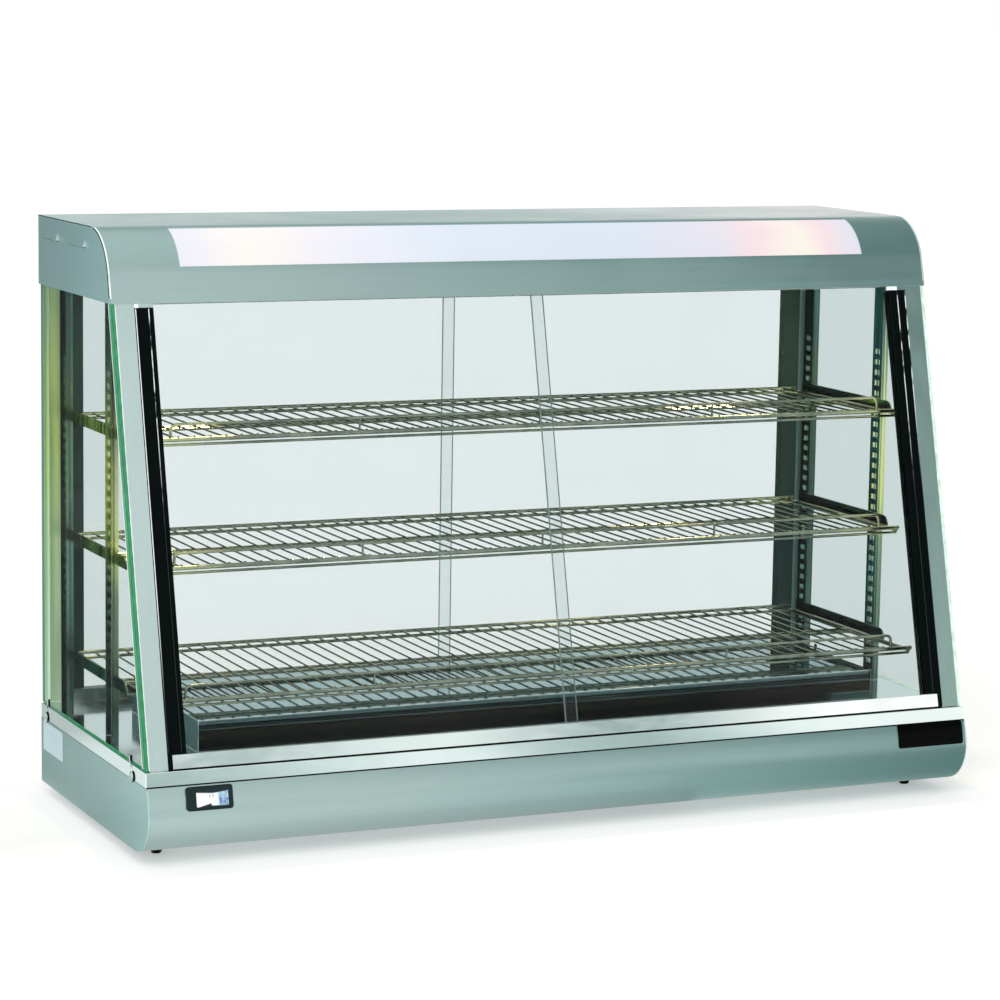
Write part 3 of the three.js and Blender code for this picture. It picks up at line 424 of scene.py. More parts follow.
def cover_sheet():
    """Heater cover: a mirror on top, and sides with a painted reflection of the dim space in front of them in
    bands, and darker ends in painted shade.
    """
    look = Look("polished_steel_cover").set(Metallic=1.0, Specular_Tint=(0.5, 0.6, 0.6, 1.0))
    wipe = look.noise((10, 30, 30), 3.0, 0.5, 0.6)
    top = look.between(wipe, (0.76, 0.83, 0.84), (0.82, 0.88, 0.89))
    wave = look.spread(look.noise(2.5, 2.0), -0.001, 0.001)
    painted_reflection_bands = look.ramp(height_share(look, DECK, DECK + 42, wave), (
        (0.00, (0.020, 0.040, 0.038)), (0.05, (0.15, 0.21, 0.20)), (0.08, (0.045, 0.090, 0.085)),
        (0.27, (0.040, 0.080, 0.076)), (0.30, (0.14, 0.19, 0.18)), (0.33, (0.014, 0.016, 0.010)),
        (0.66, (0.018, 0.018, 0.010)), (0.69, (0.17, 0.23, 0.23)), (0.72, (0.075, 0.125, 0.130)),
        (0.93, (0.060, 0.105, 0.110)), (1.0, (0.20, 0.27, 0.27))))
    # The end faces take a darker teal: painted shade
    ends = look.mixed(look.remap(look.facing("X"), 0.6, 0.8), painted_reflection_bands, (0.115, 0.165, 0.160))
    look.color(look.mixed(look.remap(look.toward("Z"), 0.6, 0.8), ends, top))
    look.rough(look.spread(wipe, 0.015, 0.05))
    return look.material


def strap_steel():
    """Bright strap with painted dark reflections and highlights in streaks, like those a folded polished strip
    shows.
    """
    look = Look("polished_steel_strap").set(Metallic=1.0)
    painted_reflection_noise = look.noise((420, 420, 60), 2.0, 0.5, shift=(0.3, 0.8, 0.1))
    look.color(look.ramp(painted_reflection_noise, (
        (0.36, (0.03, 0.04, 0.045)), (0.44, (0.40, 0.43, 0.43)), (0.52, (0.95, 0.96, 0.98)))))
    look.rough(look.spread(painted_reflection_noise, 0.06, 0.14))
    return look.material


def wire_plating():
    """Plated wire in painted light and shade: a painted highlight on top, sides with a painted reflection of
    the dark deck on cross wires and of the front on rails, and painted lamp light near the ends.
    """
    look = Look("chrome_wire_plating").set(Metallic=1.0, Specular_Tint=(0.5, 0.5, 0.42, 1.0))
    grime_and_sheen = look.noise(30.0, 3.0, 0.6)
    # Painted warm lamp light near the shelf ends, fading lower down
    painted_lamp_warmth = look.remap(look.math("ABSOLUTE", look.along("X")), 0.40, 0.56, 0.0, 0.75, smooth=True)
    painted_lamp_warmth = look.math("MULTIPLY", painted_lamp_warmth, look.remap(look.along("Z"), 0.22, 0.38, 0.1, 1.0))
    # Painted highlight on top; on the sides, painted dark reflections on cross wires and lighter ones on rails
    top = look.between(grime_and_sheen, (0.46, 0.49, 0.37), (0.72, 0.75, 0.62))
    top = look.mixed(painted_lamp_warmth, top, (0.84, 0.84, 0.50))
    cross = look.between(grime_and_sheen, (0.018, 0.030, 0.025), (0.050, 0.064, 0.052))
    rail = look.between(grime_and_sheen, (0.14, 0.175, 0.140), (0.31, 0.345, 0.275))
    rail = look.mixed(painted_lamp_warmth, rail, (0.70, 0.70, 0.36))
    under = look.mixed(look.remap(look.facing("Y"), 0.25, 0.5), cross, rail)
    look.color(look.mixed(look.remap(look.toward("Z"), 0.52, 0.96), under, top))
    look.rough(look.spread(grime_and_sheen, 0.10, 0.18))
    return look.material


cover_steel = cover_sheet()
strap_bright = strap_steel()
chrome = wire_plating()
sheath = brushed("element_sheath_dark", (0.20, 0.18, 0.155), 0.5, (60, 60, 60), variation=0.2, smudge=0.1)


# Plastics, glass and lamps

def plastic(name, color, roughness, grain=900.0, depth=0.02, variation=0.15, shine=0.5, ior=1.45):
    """Moulded or extruded stuff with fine grain, dust and handling shine."""
    look = Look(name).set(Specular_IOR_Level=shine, IOR=ior)
    fine = look.noise(grain, 3.0, 0.6)
    cloud = look.noise(11.0, 4.0, 0.6, 0.3)
    look.color(look.ramp(cloud, (
        (0.3, tint(color, 1 - variation)), (0.55, color), (0.8, tint(color, 1 + variation * 3)))))
    matt = look.spread(fine, roughness - 0.04, roughness + 0.05)
    handled = look.remap(cloud, 0.35, 0.7, -0.05, 0.06)
    look.rough(look.math("ADD", matt, handled, clamp=True))
    look.bump(fine, depth, 0.6)
    return look.material


def clear_glass(name, color, ior):
    """Clear glass that lets the lamps' shadow rays pass."""
    look = Look(name).set(Transmission_Weight=1.0, IOR=ior)
    haze = look.noise(4.0, 4.0, 0.6, 0.8, shift=(1.3, 0.2, 3.0))
    look.color(look.ramp(haze, ((0.35, tint(color, 0.992)), (0.7, color))))
    look.rough(look.remap(haze, 0.55, 0.85, 0.0, 0.012))
    clear = look.node("ShaderNodeBsdfTransparent")
    look.feed(clear.inputs["Color"], color)
    mix = look.node("ShaderNodeMixShader")
    look.link(look.node("ShaderNodeLightPath").outputs["Is Shadow Ray"], mix.inputs[0])
    look.link(look.shader.outputs[0], mix.inputs[1])
    look.link(clear.outputs[0], mix.inputs[2])
    look.surface(mix.outputs[0])
    return look.material


def glass_edge(name, color, glow, rear=None):
    """Ground edge of a pane, colored by the length of glass behind it, with a painted glow; rear is its color
    at the back.
    """
    look = Look(name).set(Specular_IOR_Level=0.35)
    ground = look.noise((260, 260, 35), 4.0, 0.6)
    body = look.ramp(ground, ((0.3, tint(color, 0.72)), (0.5, color), (0.75, tint(color, 1.5))))
    shine = look.ramp(ground, ((0.3, tint(color, 0.7)), (0.75, color)))
    if rear:
        back = look.remap(look.along("Y"), 0.10, 0.20)
        body = look.mixed(back, body, rear)
        shine = look.mixed(back, shine, rear)
    look.color(body)
    look.rough(look.spread(ground, 0.12, 0.3))
    look.glow(shine, glow)
    look.bump(ground, 0.05, 0.5)
    return look.material


black_seal = plastic("seal_black_extrusion", (0.004, 0.0075, 0.007), 0.34, 300.0, depth=0.002, ior=1.04)
rear_seal = plastic("seal_rear_extrusion", (0.020, 0.044, 0.044), 0.4, 300.0, depth=0.002, ior=1.04)
black_part = plastic("control_black_moulding", (0.012, 0.012, 0.013), 0.42, 1300.0, depth=0.04, shine=0.3)
rubber = plastic("foot_rubber_black", (0.005, 0.005, 0.005), 0.7, 700.0, depth=0.08, shine=0.12)
meter_black = plastic("meter_black_gloss", (0.008, 0.022, 0.024), 0.25, 400.0, depth=0.004, ior=1.3)
ceramic = plastic("lamp_ceramic_white", (0.72, 0.70, 0.64), 0.55, 600.0, depth=0.03, variation=0.05)
door_clear = clear_glass("door_glass_clear", (0.855, 0.897, 0.902), 1.20)
side_clear = clear_glass("side_glass_clear", (0.675, 0.752, 0.742), 1.03)
# Pane edges and arrises with a painted glow, for the light that gathers in the glass
edge_green = glass_edge("glass_edge_green", (0.03, 0.22, 0.10), 0.55, rear=(0.12, 0.21, 0.18))
edge_smoke = glass_edge("glass_edge_smoke", (0.11, 0.155, 0.145), 0.5)
edge_pale = glass_edge("glass_edge_pale", (0.55, 0.70, 0.62), 0.55)
edge_white = glass_edge("glass_edge_arris", (0.62, 0.80, 0.72), 0.35)


def lamp_glow():
    """Opal panel: cool white, with a pale warm patch before the left lamp and a pink one before the right."""
    look = Look("light_panel_opal").set(IOR=1.45)
    across = look.along("X")
    aside = look.math("SUBTRACT", look.math("ABSOLUTE", across), 0.412)
    away = look.math("MAXIMUM", look.math("MULTIPLY", aside, -1.0), look.math("MULTIPLY", aside, 1.7))
    blur = look.spread(look.noise((9, 20, 20), 2.0, 0.5), -0.02, 0.02)
    spread = look.math("MULTIPLY", look.math("ADD", away, blur), 3.2)
    pale = look.ramp(spread, (
        (0.00, (1.0, 0.97, 0.93)), (0.15, (0.99, 0.94, 0.94)), (0.35, (0.92, 0.90, 0.98)),
        (0.80, (0.80, 0.86, 0.96)), (1.0, (0.76, 0.83, 0.95))))
    pink = look.ramp(spread, (
        (0.00, (1.0, 0.94, 0.84)), (0.10, (1.0, 0.88, 0.84)), (0.24, (0.98, 0.78, 0.82)),
        (0.45, (0.83, 0.80, 0.89)), (0.80, (0.75, 0.81, 0.92)), (1.0, (0.74, 0.81, 0.93))))
    shade = look.mixed(look.remap(across, -0.05, 0.05), pale, pink)
    look.color(look.mixed(0.8, shade, (0.05, 0.05, 0.05)))
    look.glow(shade, 0.74)
    look.rough(look.spread(look.noise(300.0), 0.32, 0.42))
    return look.material


def bulb_glow():
    """Pearl lamp glass, lit warm."""
    look = Look("bulb_glass_pearl")
    frost = look.noise(160.0, 2.0)
    shade = look.between(frost, (1.0, 0.66, 0.36), (1.0, 0.78, 0.52))
    look.color(shade)
    look.glow(shade, 2.2)
    look.rough(look.spread(frost, 0.2, 0.35))
    return look.material


panel = lamp_glow()
pearl = bulb_glow()


# CAD nodes in their finish

WELD_DISTANCE = 0.004 * MM
FLAT_ANGLE = math.radians(0.4)


def finish(name, materials, bevel, segments=2, angle=32):
    """Gives a CAD node its materials, and a fine rounded rim that takes the last one."""
    node = nodes[name]
    mesh = node.data
    mesh.materials.clear()
    for material in materials:
        mesh.materials.append(material)
    if "custom_normal" in mesh.attributes:
        mesh.attributes.remove(mesh.attributes["custom_normal"])
    mesh.shade_smooth()
    weld = node.modifiers.new("weld", "WELD")
    weld.merge_threshold = WELD_DISTANCE
    flat = node.modifiers.new("flat", "DECIMATE")
    flat.decimate_type = "DISSOLVE"
    flat.angle_limit = FLAT_ANGLE
    rim = node.modifiers.new("rim", "BEVEL")
    rim.width = bevel * MM
    rim.segments = segments
    rim.limit_method = "ANGLE"
    rim.angle_limit = math.radians(angle)
    rim.harden_normals = True
    rim.material = len(materials) - 1
    rim.use_clamp_overlap = True


# On the steel nodes the rim takes a lighter steel than the faces: a painted highlight along the edges
finish("base_body", [satin, satin_rim_highlight], 0.45)
finish("canopy_wrap", [satin, satin_rim_highlight], 0.2)
finish("deck_plate", [mirror, mirror_rim_highlight], 0.7)
finish("heater_cover", [cover_steel, mirror_rim_highlight], 1.2, 3)
finish("rear_frame_left", [strip_lamp_painted, strip_rim_highlight], 0.35)
finish("rear_frame_right", [strip_shaded, strip_rim_highlight], 0.35)
finish("canopy_ceiling", [bright_long, bright_rim_highlight], 0.3)
finish("light_panel", [panel], 0.4)
finish("heating_element", [sheath], 0.2, angle=60)
for face in FACES:
    finish(face + "_track_lower", [track_steel, mirror_rim_highlight], 0.3)
    finish(face + "_track_upper", [bright_long, bright_rim_highlight], 0.3)
for side in SIGNS:
    finish("canopy_end_" + side, [end_satin, satin_rim_highlight], 0.4)
    finish("front_frame_" + side, [strips[side], strip_rim_highlight], 0.35)
    finish("lamp_holder_" + side, [ceramic], 0.5)
    finish("bulb_" + side, [pearl], 0.4, angle=50)
    for shelf in SHELVES:
        finish(f"shelf_arm_{shelf}_{side}", [arms[side], bright_rim_highlight], 0.25)
    for face in FACES:
        finish(f"{face}_seal_{side}", [black_seal if face == "front" else rear_seal], 0.25)
        finish(f"shelf_post_{face}_{side}", [posts[face, side], bright_rim_highlight], 0.25)
        finish(f"foot_{face}_{side}", [rubber], 0.8, 3)
for name, bevel in (
        ("switch_housing", 0.6), ("thermostat_body", 0.6), ("cable_gland", 0.6), ("light_rocker", 0.5),
        ("power_rocker", 0.5), ("thermostat_knob", 0.7)):
    finish(name, [black_part], bevel, 3)


# New pieces

SHARP_ANGLE = math.radians(35)


def piece(name, bm, materials, body="case", stands_for=None, smooth=True):
    """Makes a new piece that rides on a body, and that may stand in for a CAD node."""
    mesh = bpy.data.meshes.new(name + "_mesh")
    bmesh.ops.recalc_face_normals(bm, faces=bm.faces)
    bm.to_mesh(mesh)
    bm.free()
    if smooth:
        mesh.shade_smooth()
        mesh.set_sharp_from_angle(angle=SHARP_ANGLE)
    for material in materials:
        mesh.materials.append(material)
    obj = bpy.data.objects.new(name, mesh)
    scene_objects.link(obj)
    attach(obj, body)
    if stands_for:
        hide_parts(stands_for)


def soften(bm, width, segments, material=0):
    """Bevels every edge of a bmesh by a width in millimetres."""
    edges = bm.edges[:]
    bmesh.ops.bevel(bm, geom=edges, offset=width * MM, segments=segments, affect="EDGES", material=material)


def pane(name, clear, edge, rim, arris=0.45, rim_index=2):
    """A pane with see-through faces, ground edges and arrises that take one of the three materials."""
    bm = bmesh.new()
    bm.from_mesh(nodes[name].data)
    bmesh.ops.remove_doubles(bm, verts=bm.verts, dist=0.01 * MM)
    bmesh.ops.dissolve_limit(bm, angle_limit=math.radians(1), verts=bm.verts, edges=bm.edges)
    faces = sorted(bm.faces, key=lambda face: -face.calc_area())
    for i, face in enumerate(faces):
        face.material_index = 0 if i < 2 else 1
    soften(bm, arris, 1, rim_index)
    body = name if "door" in name else "case"
    piece(name + "_pane", bm, [clear, edge, rim], body, stands_for=name, smooth=False)


# Edge, width of the arrises and the material that they take, for each side pane; edges and arrises carry a
# painted glow
SIDE_PANES = {"left": (edge_green, 1.4, 1), "right": (edge_pale, 0.5, 2)}
for side, (edge, arris, rim_index) in SIDE_PANES.items():
    pane("side_glass_" + side, side_clear, edge, edge_white, arris, rim_index)
    for face in FACES:
        pane(f"{face}_door_{side}", door_clear, edge_smoke, edge_smoke)


def ring_of(bm, points):
    """A ring of corner points, from places in millimetres."""
    return [bm.verts.new(Vector(point) * MM) for point in points]


def wall(bm, first, second):
    """Joins two rings by a band of faces; a ring may be one point repeated."""
    faces = []
    for quad in zip(first, first[1:] + first[:1], second[1:] + second[:1], second):
        distinct = list(dict.fromkeys(quad))
        if len(distinct) > 2:
            faces.append(bm.faces.new(distinct))
    return faces


def prism(bm, rings):
    """Joins rings by walls and closes both ends; gives back the walls' faces."""
    walls = [face for first, second in zip(rings, rings[1:]) for face in wall(bm, first, second)]
    bm.faces.new(rings[0][::-1])
    bm.faces.new(rings[-1])
    return walls


# Size and height of the small end face of a round bar, as shares of its radius
DOME_SIZE = 0.6
DOME_HEIGHT = 0.35
# Least cosine of half a bend that a ring is stretched for, and the stretch up to which a bar is straight
LEAST_COSINE = 0.5
STRAIGHT = 1.0001


def tube(bm, points, radius, sides=8):
    """Adds a round bar along points in millimetres, with slightly domed ends."""
    points = [Vector(point) * MM for point in points]
    radius *= MM
    ahead = (points[1] - points[0]).normalized()
    across = ahead.orthogonal().normalized()
    rings = []
    for i, point in enumerate(points):
        before = points[max(i - 1, 0)]
        after = points[min(i + 1, len(points) - 1)]
        along = (after - before).normalized()
        across = (across - along * across.dot(along)).normalized()
        up = along.cross(across)
        stretch = 1.0
        if 0 < i < len(points) - 1:
            half = (point - before).angle(after - point) / 2
            stretch = 1 / max(math.cos(half), LEAST_COSINE)
        bend = Vector((0, 0, 0))
        if stretch > STRAIGHT:
            bend = ((after - point).normalized() - (point - before).normalized()).normalized()
        ring = []
        for k in range(sides):
            turn = 2 * math.pi * k / sides
            out = across * math.cos(turn) + up * math.sin(turn)
            out = out + bend * out.dot(bend) * (stretch - 1)
            ring.append(bm.verts.new(point + out * radius))
        rings.append(ring)
    for first, second in zip(rings, rings[1:]):
        wall(bm, first, second)
    for ring, point, other in ((rings[0], points[0], points[1]), (rings[-1], points[-1], points[-2])):
        lift = (point - other).normalized() * radius * DOME_HEIGHT
        small = [bm.verts.new(point + (vert.co - point) * DOME_SIZE + lift) for vert in ring]
        wall(bm, ring, small)
        bm.faces.new(small)


# Wire shelves

SHELF_HALF = 555.4
SHELF_REAR = 203.0
# Height of the front rail and the cross wires over the shelf's lowest point
WIRE_RISE = 5.9
WIRE_COUNT = 50
WIRE_RADIUS = 1.3
RAIL_RADIUS = 3.0
LOWER_RAIL_DROP = 6.8
LOWER_RAIL_RADIUS = 1.9
REAR_RAIL_RADIUS = 2.5
BEARER_SHARE = 0.42
BEARER_RISE = 2.7
BEARER_RADIUS = 2.2
END_ROD_RISE = 2.5
END_ROD_RADIUS = 2.25
HOOP_INSET = 33
HOOP_RISE = 19.6
HOOP_FOOT = 2.2
HOOP_BEND = 9
HOOP_STEPS = 4
HOOP_RADIUS = 2.0
STAY_RADIUS = 1.5


def bend_points(corner, start, end):
    """Points of a hoop's bend at a corner, from the direction of start to the direction of end."""
    corner, start, end = Vector(corner), Vector(start), Vector(end)
    first = corner + (start - corner).normalized() * HOOP_BEND
    last = corner + (end - corner).normalized() * HOOP_BEND
    shares = [i / HOOP_STEPS for i in range(HOOP_STEPS + 1)]
    return [first.lerp(corner, share).lerp(corner.lerp(last, share), share) for share in shares]


def guard_hoop(bm, y, rail):
    """The hoop that stands on the front rail, with three stays; rail is the height of the rail's middle."""
    half = SHELF_HALF - HOOP_INSET
    top = rail + HOOP_RISE
    foot = rail + HOOP_FOOT
    left = bend_points((-half, y, top), (-half, y, foot), (0, y, top))
    right = bend_points((half, y, top), (0, y, top), (half, y, foot))
    tube(bm, [(-half, y, foot - 1), *left, *right, (half, y, foot - 1)], HOOP_RADIUS, 10)
    for x in (-half / 2, 0, half / 2):
        tube(bm, [(x, y, foot - 1), (x, y, top - 0.6)], STAY_RADIUS)


def wire_shelf(name):
    """Round wires in place of the CAD shelf's square ones, wrapped over the rail at the front."""
    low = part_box("wire_shelf_" + name)[0]
    front = low.y / MM
    base = low.z / MM
    level = base + WIRE_RISE
    bearer_y = front + (SHELF_REAR - front) * BEARER_SHARE + 2.5
    bm = bmesh.new()

    def lengthways(y, z, inset, radius, sides=10):
        tube(bm, [(inset - SHELF_HALF, y, z), (SHELF_HALF - inset, y, z)], radius, sides)

    lengthways(front + RAIL_RADIUS, level, 0, RAIL_RADIUS, 14)
    lengthways(front + 3.5, level - LOWER_RAIL_DROP, 3, LOWER_RAIL_RADIUS)
    for y in (bearer_y, bearer_y + 19.0, SHELF_REAR - 22.0):
        lengthways(y, base + BEARER_RISE, 2.5, BEARER_RADIUS)
    lengthways(SHELF_REAR - REAR_RAIL_RADIUS, level + 0.2, 0, REAR_RAIL_RADIUS)
    for sign in SIGNS.values():
        x = sign * (SHELF_HALF - 2.75)
        tube(bm, [(x, y, base + END_ROD_RISE) for y in (front + 3, SHELF_REAR - 0.5)], END_ROD_RADIUS, 10)
    pitch = SHELF_HALF * 2 / (WIRE_COUNT + 1)
    for i in range(1, WIRE_COUNT + 1):
        x = -SHELF_HALF + i * pitch
        wobble = 0.16 * math.sin(i * 2.3) + 0.1 * math.sin(i * 5.1)
        nose = [(x, front + 1.5, level + 2.1), (x, front + 3.2, level + 3.2), (x, front + 7.0, level + 2.4),
                (x, front + 12.0, level + 0.6)]
        tail = [(x + wobble, bearer_y, level + 0.1), (x + wobble * 0.5, SHELF_REAR - 24, level + 0.1),
                (x, SHELF_REAR - 1.8, level + 0.2)]
        tube(bm, nose + tail, WIRE_RADIUS)
    guard_hoop(bm, front + RAIL_RADIUS, level)
    piece(f"wire_shelf_{name}_round", bm, [chrome], stands_for="wire_shelf_" + name)


for shelf in SHELVES:
    wire_shelf(shelf)


# Surfaces of the case that small pieces sit on, in millimetres

def front_y(z):
    """Y of the slanted front plane at a height."""
    return GLAZING_FOOT_Y + (z - DECK) * math.tan(GLAZING_SLANT)


def base_skin_y(z):
    """Y of the base's front skin at a height, above or below its apex."""
    radius = BASE_UPPER_RADIUS if z > BASE_APEX else BASE_LOWER_RADIUS
    return BASE_FRONT_Y + radius - math.sqrt(radius ** 2 - (z - BASE_APEX) ** 2)


def base_lean(z):
    """Angle by which the base's front skin leans back at a height above its apex."""
    return math.asin((z - BASE_APEX) / BASE_UPPER_RADIUS)


def canopy_point(turn, inset):
    """Y and Z on the canopy's front curve, at an angle from upright and set in from its skin."""
    radius = CANOPY_CURVE_RADIUS - inset
    z = CANOPY_TOP - CANOPY_CURVE_RADIUS + radius * math.cos(turn)
    return CANOPY_CURVE_Y - radius * math.sin(turn), z


# Blank plates: badge and label

CORNER_STEPS = 5
PLATE_CUTS = 12


def rounded_outline(width, height, radius):
    points = []
    for cx, cy, start in ((1, 1, 0), (-1, 1, 90), (-1, -1, 180), (1, -1, 270)):
        for i in range(CORNER_STEPS + 1):
            turn = math.radians(start + 90 * i / CORNER_STEPS)
            points.append((cx * (width / 2 - radius) + radius * math.cos(turn),
                           cy * (height / 2 - radius) + radius * math.sin(turn)))
    return points


def plate(name, width, height, thick, radius, place, material, bevel, stands_for=None):
    """A thin plate with rounded corners; place maps (across, up, out) in millimetres to the frame."""
    bm = bmesh.new()
    outline = rounded_outline(width, height, radius)
    prism(bm, [[bm.verts.new((x, y, z)) for x, y in outline] for z in (0, thick)])
    bmesh.ops.recalc_face_normals(bm, faces=bm.faces)
    if bevel:
        rim = [edge for edge in bm.edges if all(vert.co.z > thick * 0.5 for vert in edge.verts)]
        bmesh.ops.bevel(bm, geom=rim, offset=bevel, segments=2, affect="EDGES")
    for i in range(1, PLATE_CUTS):
        y = -height / 2 + height * i / PLATE_CUTS
        everything = bm.verts[:] + bm.edges[:] + bm.faces[:]
        bmesh.ops.bisect_plane(bm, geom=everything, plane_co=(0, y, 0), plane_no=(0, 1, 0))
    for vert in bm.verts:
        vert.co = Vector(place(*vert.co)) * MM
    piece(name, bm, [material], stands_for=stands_for)


BADGE_X, BADGE_Z = 542.2, 91.2
LABEL_Y, LABEL_Z = 177, 83
PLATE_LIFT = 0.15


def badge_place(across, up, out):
    """Across, up and out from the badge's middle, on the curved base front."""
    z = BADGE_Z + up
    lean = base_lean(z)
    off = out + PLATE_LIFT
    return BADGE_X + across, base_skin_y(z) - off * math.cos(lean), z + off * math.sin(lean)


def label_place(across, up, out):
    """Across, up and out from the label's middle, on the left end of the base."""
    return -END_SKIN - PLATE_LIFT - out, LABEL_Y - across, LABEL_Z + up


def paper():
    look = Look("label_paper_blank").set(Coat_Weight=0.2, Coat_Roughness=0.25)
    fibre = look.noise(500.0, 3.0)
    age = look.noise(24.0, 3.0, 0.5)
    look.color(look.between(age, (0.60, 0.80, 0.87), (0.68, 0.88, 0.94)))
    look.rough(look.spread(fibre, 0.4, 0.55))
    look.bump(fibre, 0.02, 0.5)
    return look.material


badge_black = plastic("badge_black_lacquer", (0.002, 0.002, 0.0022), 0.22, 500.0, depth=0.002, shine=0.06)
plate("front_badge_blank", 103.5, 31.5, 1.0, 3.5, badge_place, badge_black, 0.35)
plate("side_label_blank", 92, 40, 0.15, 1.5, label_place, paper(), 0.0)


# Clips at the feet of the side panes

screw_steel = polished("screw_steel", (0.80, 0.84, 0.83), 0.12)
pad_rubber = plastic("clip_pad_rubber", (0.004, 0.005, 0.005), 0.5, 600.0, depth=0.01, shine=0.2)
# Radii and heights of a domed screw on its cupped washer, and of the ring under it
WASHER = ((0, -0.5), (6.9, -0.5), (6.9, 0.15), (6.3, 0.55), (5.4, 0.6), (5.2, 0.1), (4.9, 0.1), (4.6, 0.75),
          (3.2, 1.25), (1.3, 1.4), (1.3, 0.8), (0, 0.7))
RING = ((0, -0.9), (7.3, -0.9), (7.3, 0.0), (7.0, 0.25), (0, 0.25))
LATHE_SIDES = 28
SCREW_Z = 110.8
SCREW_LIFT = 2.0
RING_LIFT = 1.4
PAD_Z = 132.5
PAD_SIZE = (2.2, 4.6, 10.5)
PAD_SOFTENING = 0.7
STRAP_WIDTH = 4.2
STRAP_THICK = 0.9
# Folds of a strap: distance out from the end skin, share of the way from pad to screw, and height
FOLDS = ((1.7, 0.0, 136.5), (1.9, 0.0, 131), (1.2, 0.4, 127.2), (1.3, 0.7, 123), (1.3, 1.0, 118),
         (1.3, 1.0, 109))


def turned(name, profile, sign, lift, y, material, slot):
    """A round piece turned from radii and heights, at a clip's screw, with its axis out of the case's end."""
    place = Vector((sign * (END_SKIN + lift), y, SCREW_Z))
    bm = bmesh.new()
    turn = Vector((sign, 0, 0)).to_track_quat("Z", "Y").to_matrix()
    rings = []
    for radius, height in profile:
        angles = [2 * math.pi * k / LATHE_SIDES for k in range(LATHE_SIDES if radius else 1)]
        points = [(radius * math.cos(angle), radius * math.sin(angle), height) for angle in angles]
        ring = ring_of(bm, [place + turn @ Vector(point) for point in points])
        rings.append(ring if radius else ring * LATHE_SIDES)
    for first, second in zip(rings, rings[1:]):
        wall(bm, first, second)
    piece(name, bm, [material])


def pad(name, centre, material, stands_for):
    """A block with softened edges."""
    bm = bmesh.new()
    bmesh.ops.create_cube(bm, size=1.0)
    for vert in bm.verts:
        vert.co = Vector([(c + v * s) * MM for c, v, s in zip(centre, vert.co, PAD_SIZE)])
    soften(bm, PAD_SOFTENING, 2)
    piece(name, bm, [material], stands_for=stands_for)


def strap(name, path, material, stands_for):
    """A folded strip, wide along Y, whose middle line follows the path."""
    bm = bmesh.new()
    path = [Vector(point) for point in path]
    wide = Vector((0, 1, 0))
    rings = []
    for i, point in enumerate(path):
        run = (path[min(i + 1, len(path) - 1)] - path[max(i - 1, 0)]).normalized()
        out = run.cross(wide).normalized()
        rings.append(ring_of(bm, [point + wide * STRAP_WIDTH * a / 2 + out * STRAP_THICK * b / 2
                                  for a, b in ((-1, -1), (1, -1), (1, 1), (-1, 1))]))
    prism(bm, rings)
    piece(name, bm, [material], stands_for=stands_for)


def glass_clip(end, side, pad_y, screw_y):
    """Rubber pad on the glass, a folded strap over the deck's edge, and a broad washered screw."""
    sign = SIGNS[side]
    which = f"{end}_{side}"
    clip = "glass_clip_" + which
    pad("glass_clip_pad_" + which, (sign * END_SKIN, pad_y, PAD_Z), pad_rubber, clip)
    path = [(sign * (END_SKIN + out), pad_y * (1 - share) + screw_y * share, z) for out, share, z in FOLDS]
    strap("glass_clip_strap_" + which, path, strap_bright, clip)
    turned("clip_screw_" + which, WASHER, sign, SCREW_LIFT, screw_y, screw_steel, "polished_steel")
    turned("clip_ring_" + which, RING, sign, RING_LIFT, screw_y, pad_rubber, "control_black")


for side in SIGNS:
    glass_clip("front", side, -169.0, -174.4)
    glass_clip("rear", side, 196.0, 206.0)


# Canopy seam, joint lines, louvre lips and window lip, with painted highlights on the seams and painted shadow
# on the joint lines

louvre_glint_bright = polished("louvre_glint_painted", (0.96, 0.97, 0.98), 0.30)
painted_shadow_black = plastic("painted_shadow_line_black", (0.006, 0.010, 0.010), 0.5, 400.0, ior=1.15)
painted_highlight_white = glass_edge("painted_highlight_line", (0.80, 0.90, 0.87), 0.35)
SEAM_START = math.radians(8)
SEAM_STEPS = 16
# Distance from the middle, and inset from the canopy's skin, of the bright seam, a painted highlight, and the
# dark joint beside it, a painted shadow line
SEAM_X, SEAM_INSET = 598.7, 0.6
JOINT_X, JOINT_INSET = 600.2, 1.3
SEAM_RADIUS = 1.2
JOINT_RADIUS = 0.6
TOP_JOINT_ENDS = (236.5, -2)
WINDOW_TURN = math.radians(13)
WINDOW_HALF = 502
CORNER_LINE_X = 598.9
CORNER_LINE_SINK = 0.55
CORNER_LINE_TOP, CORNER_LINE_FOOT = 104, 24
DECK_RIM_X, DECK_RIM_Y = 599.6, -228.2
DECK_RIM_HEIGHTS = (125.2, 107.4)
LOUVRES_Y = (182, 59)
LOUVRE_HALF = 36
LOUVRE_Z = CANOPY_TOP - 29.3
# Places out from the end skin, and over the louvre's foot, of its cheek
CHEEK = ((0.05, 11), (3.3, 0.6), (0.05, 0.4))
CHEEK_THICK = 0.7


def bar(name, points, radius, material, sides=8):
    """One round bead through points in millimetres."""
    bm = bmesh.new()
    tube(bm, points, radius, sides)
    piece(name, bm, [material])


def joint(name, points, radius, sides=8):
    """A dark bar in the gap where two sheets meet: a painted shadow line."""
    bar(name, points, radius, painted_shadow_black, sides)


def canopy_edge(x, inset):
    """Points down the canopy's front curve and skirt, set in from its skin."""
    end = math.pi / 2 - GLAZING_SLANT
    turns = [SEAM_START + (end - SEAM_START) * i / SEAM_STEPS for i in range(SEAM_STEPS + 1)]
    points = [(x, *canopy_point(turn, inset)) for turn in turns]
    foot = CANOPY_FOOT + 6.5
    run = (points[-1][2] - foot) * math.tan(GLAZING_SLANT)
    return points + [(x, points[-1][1] - run, foot)]


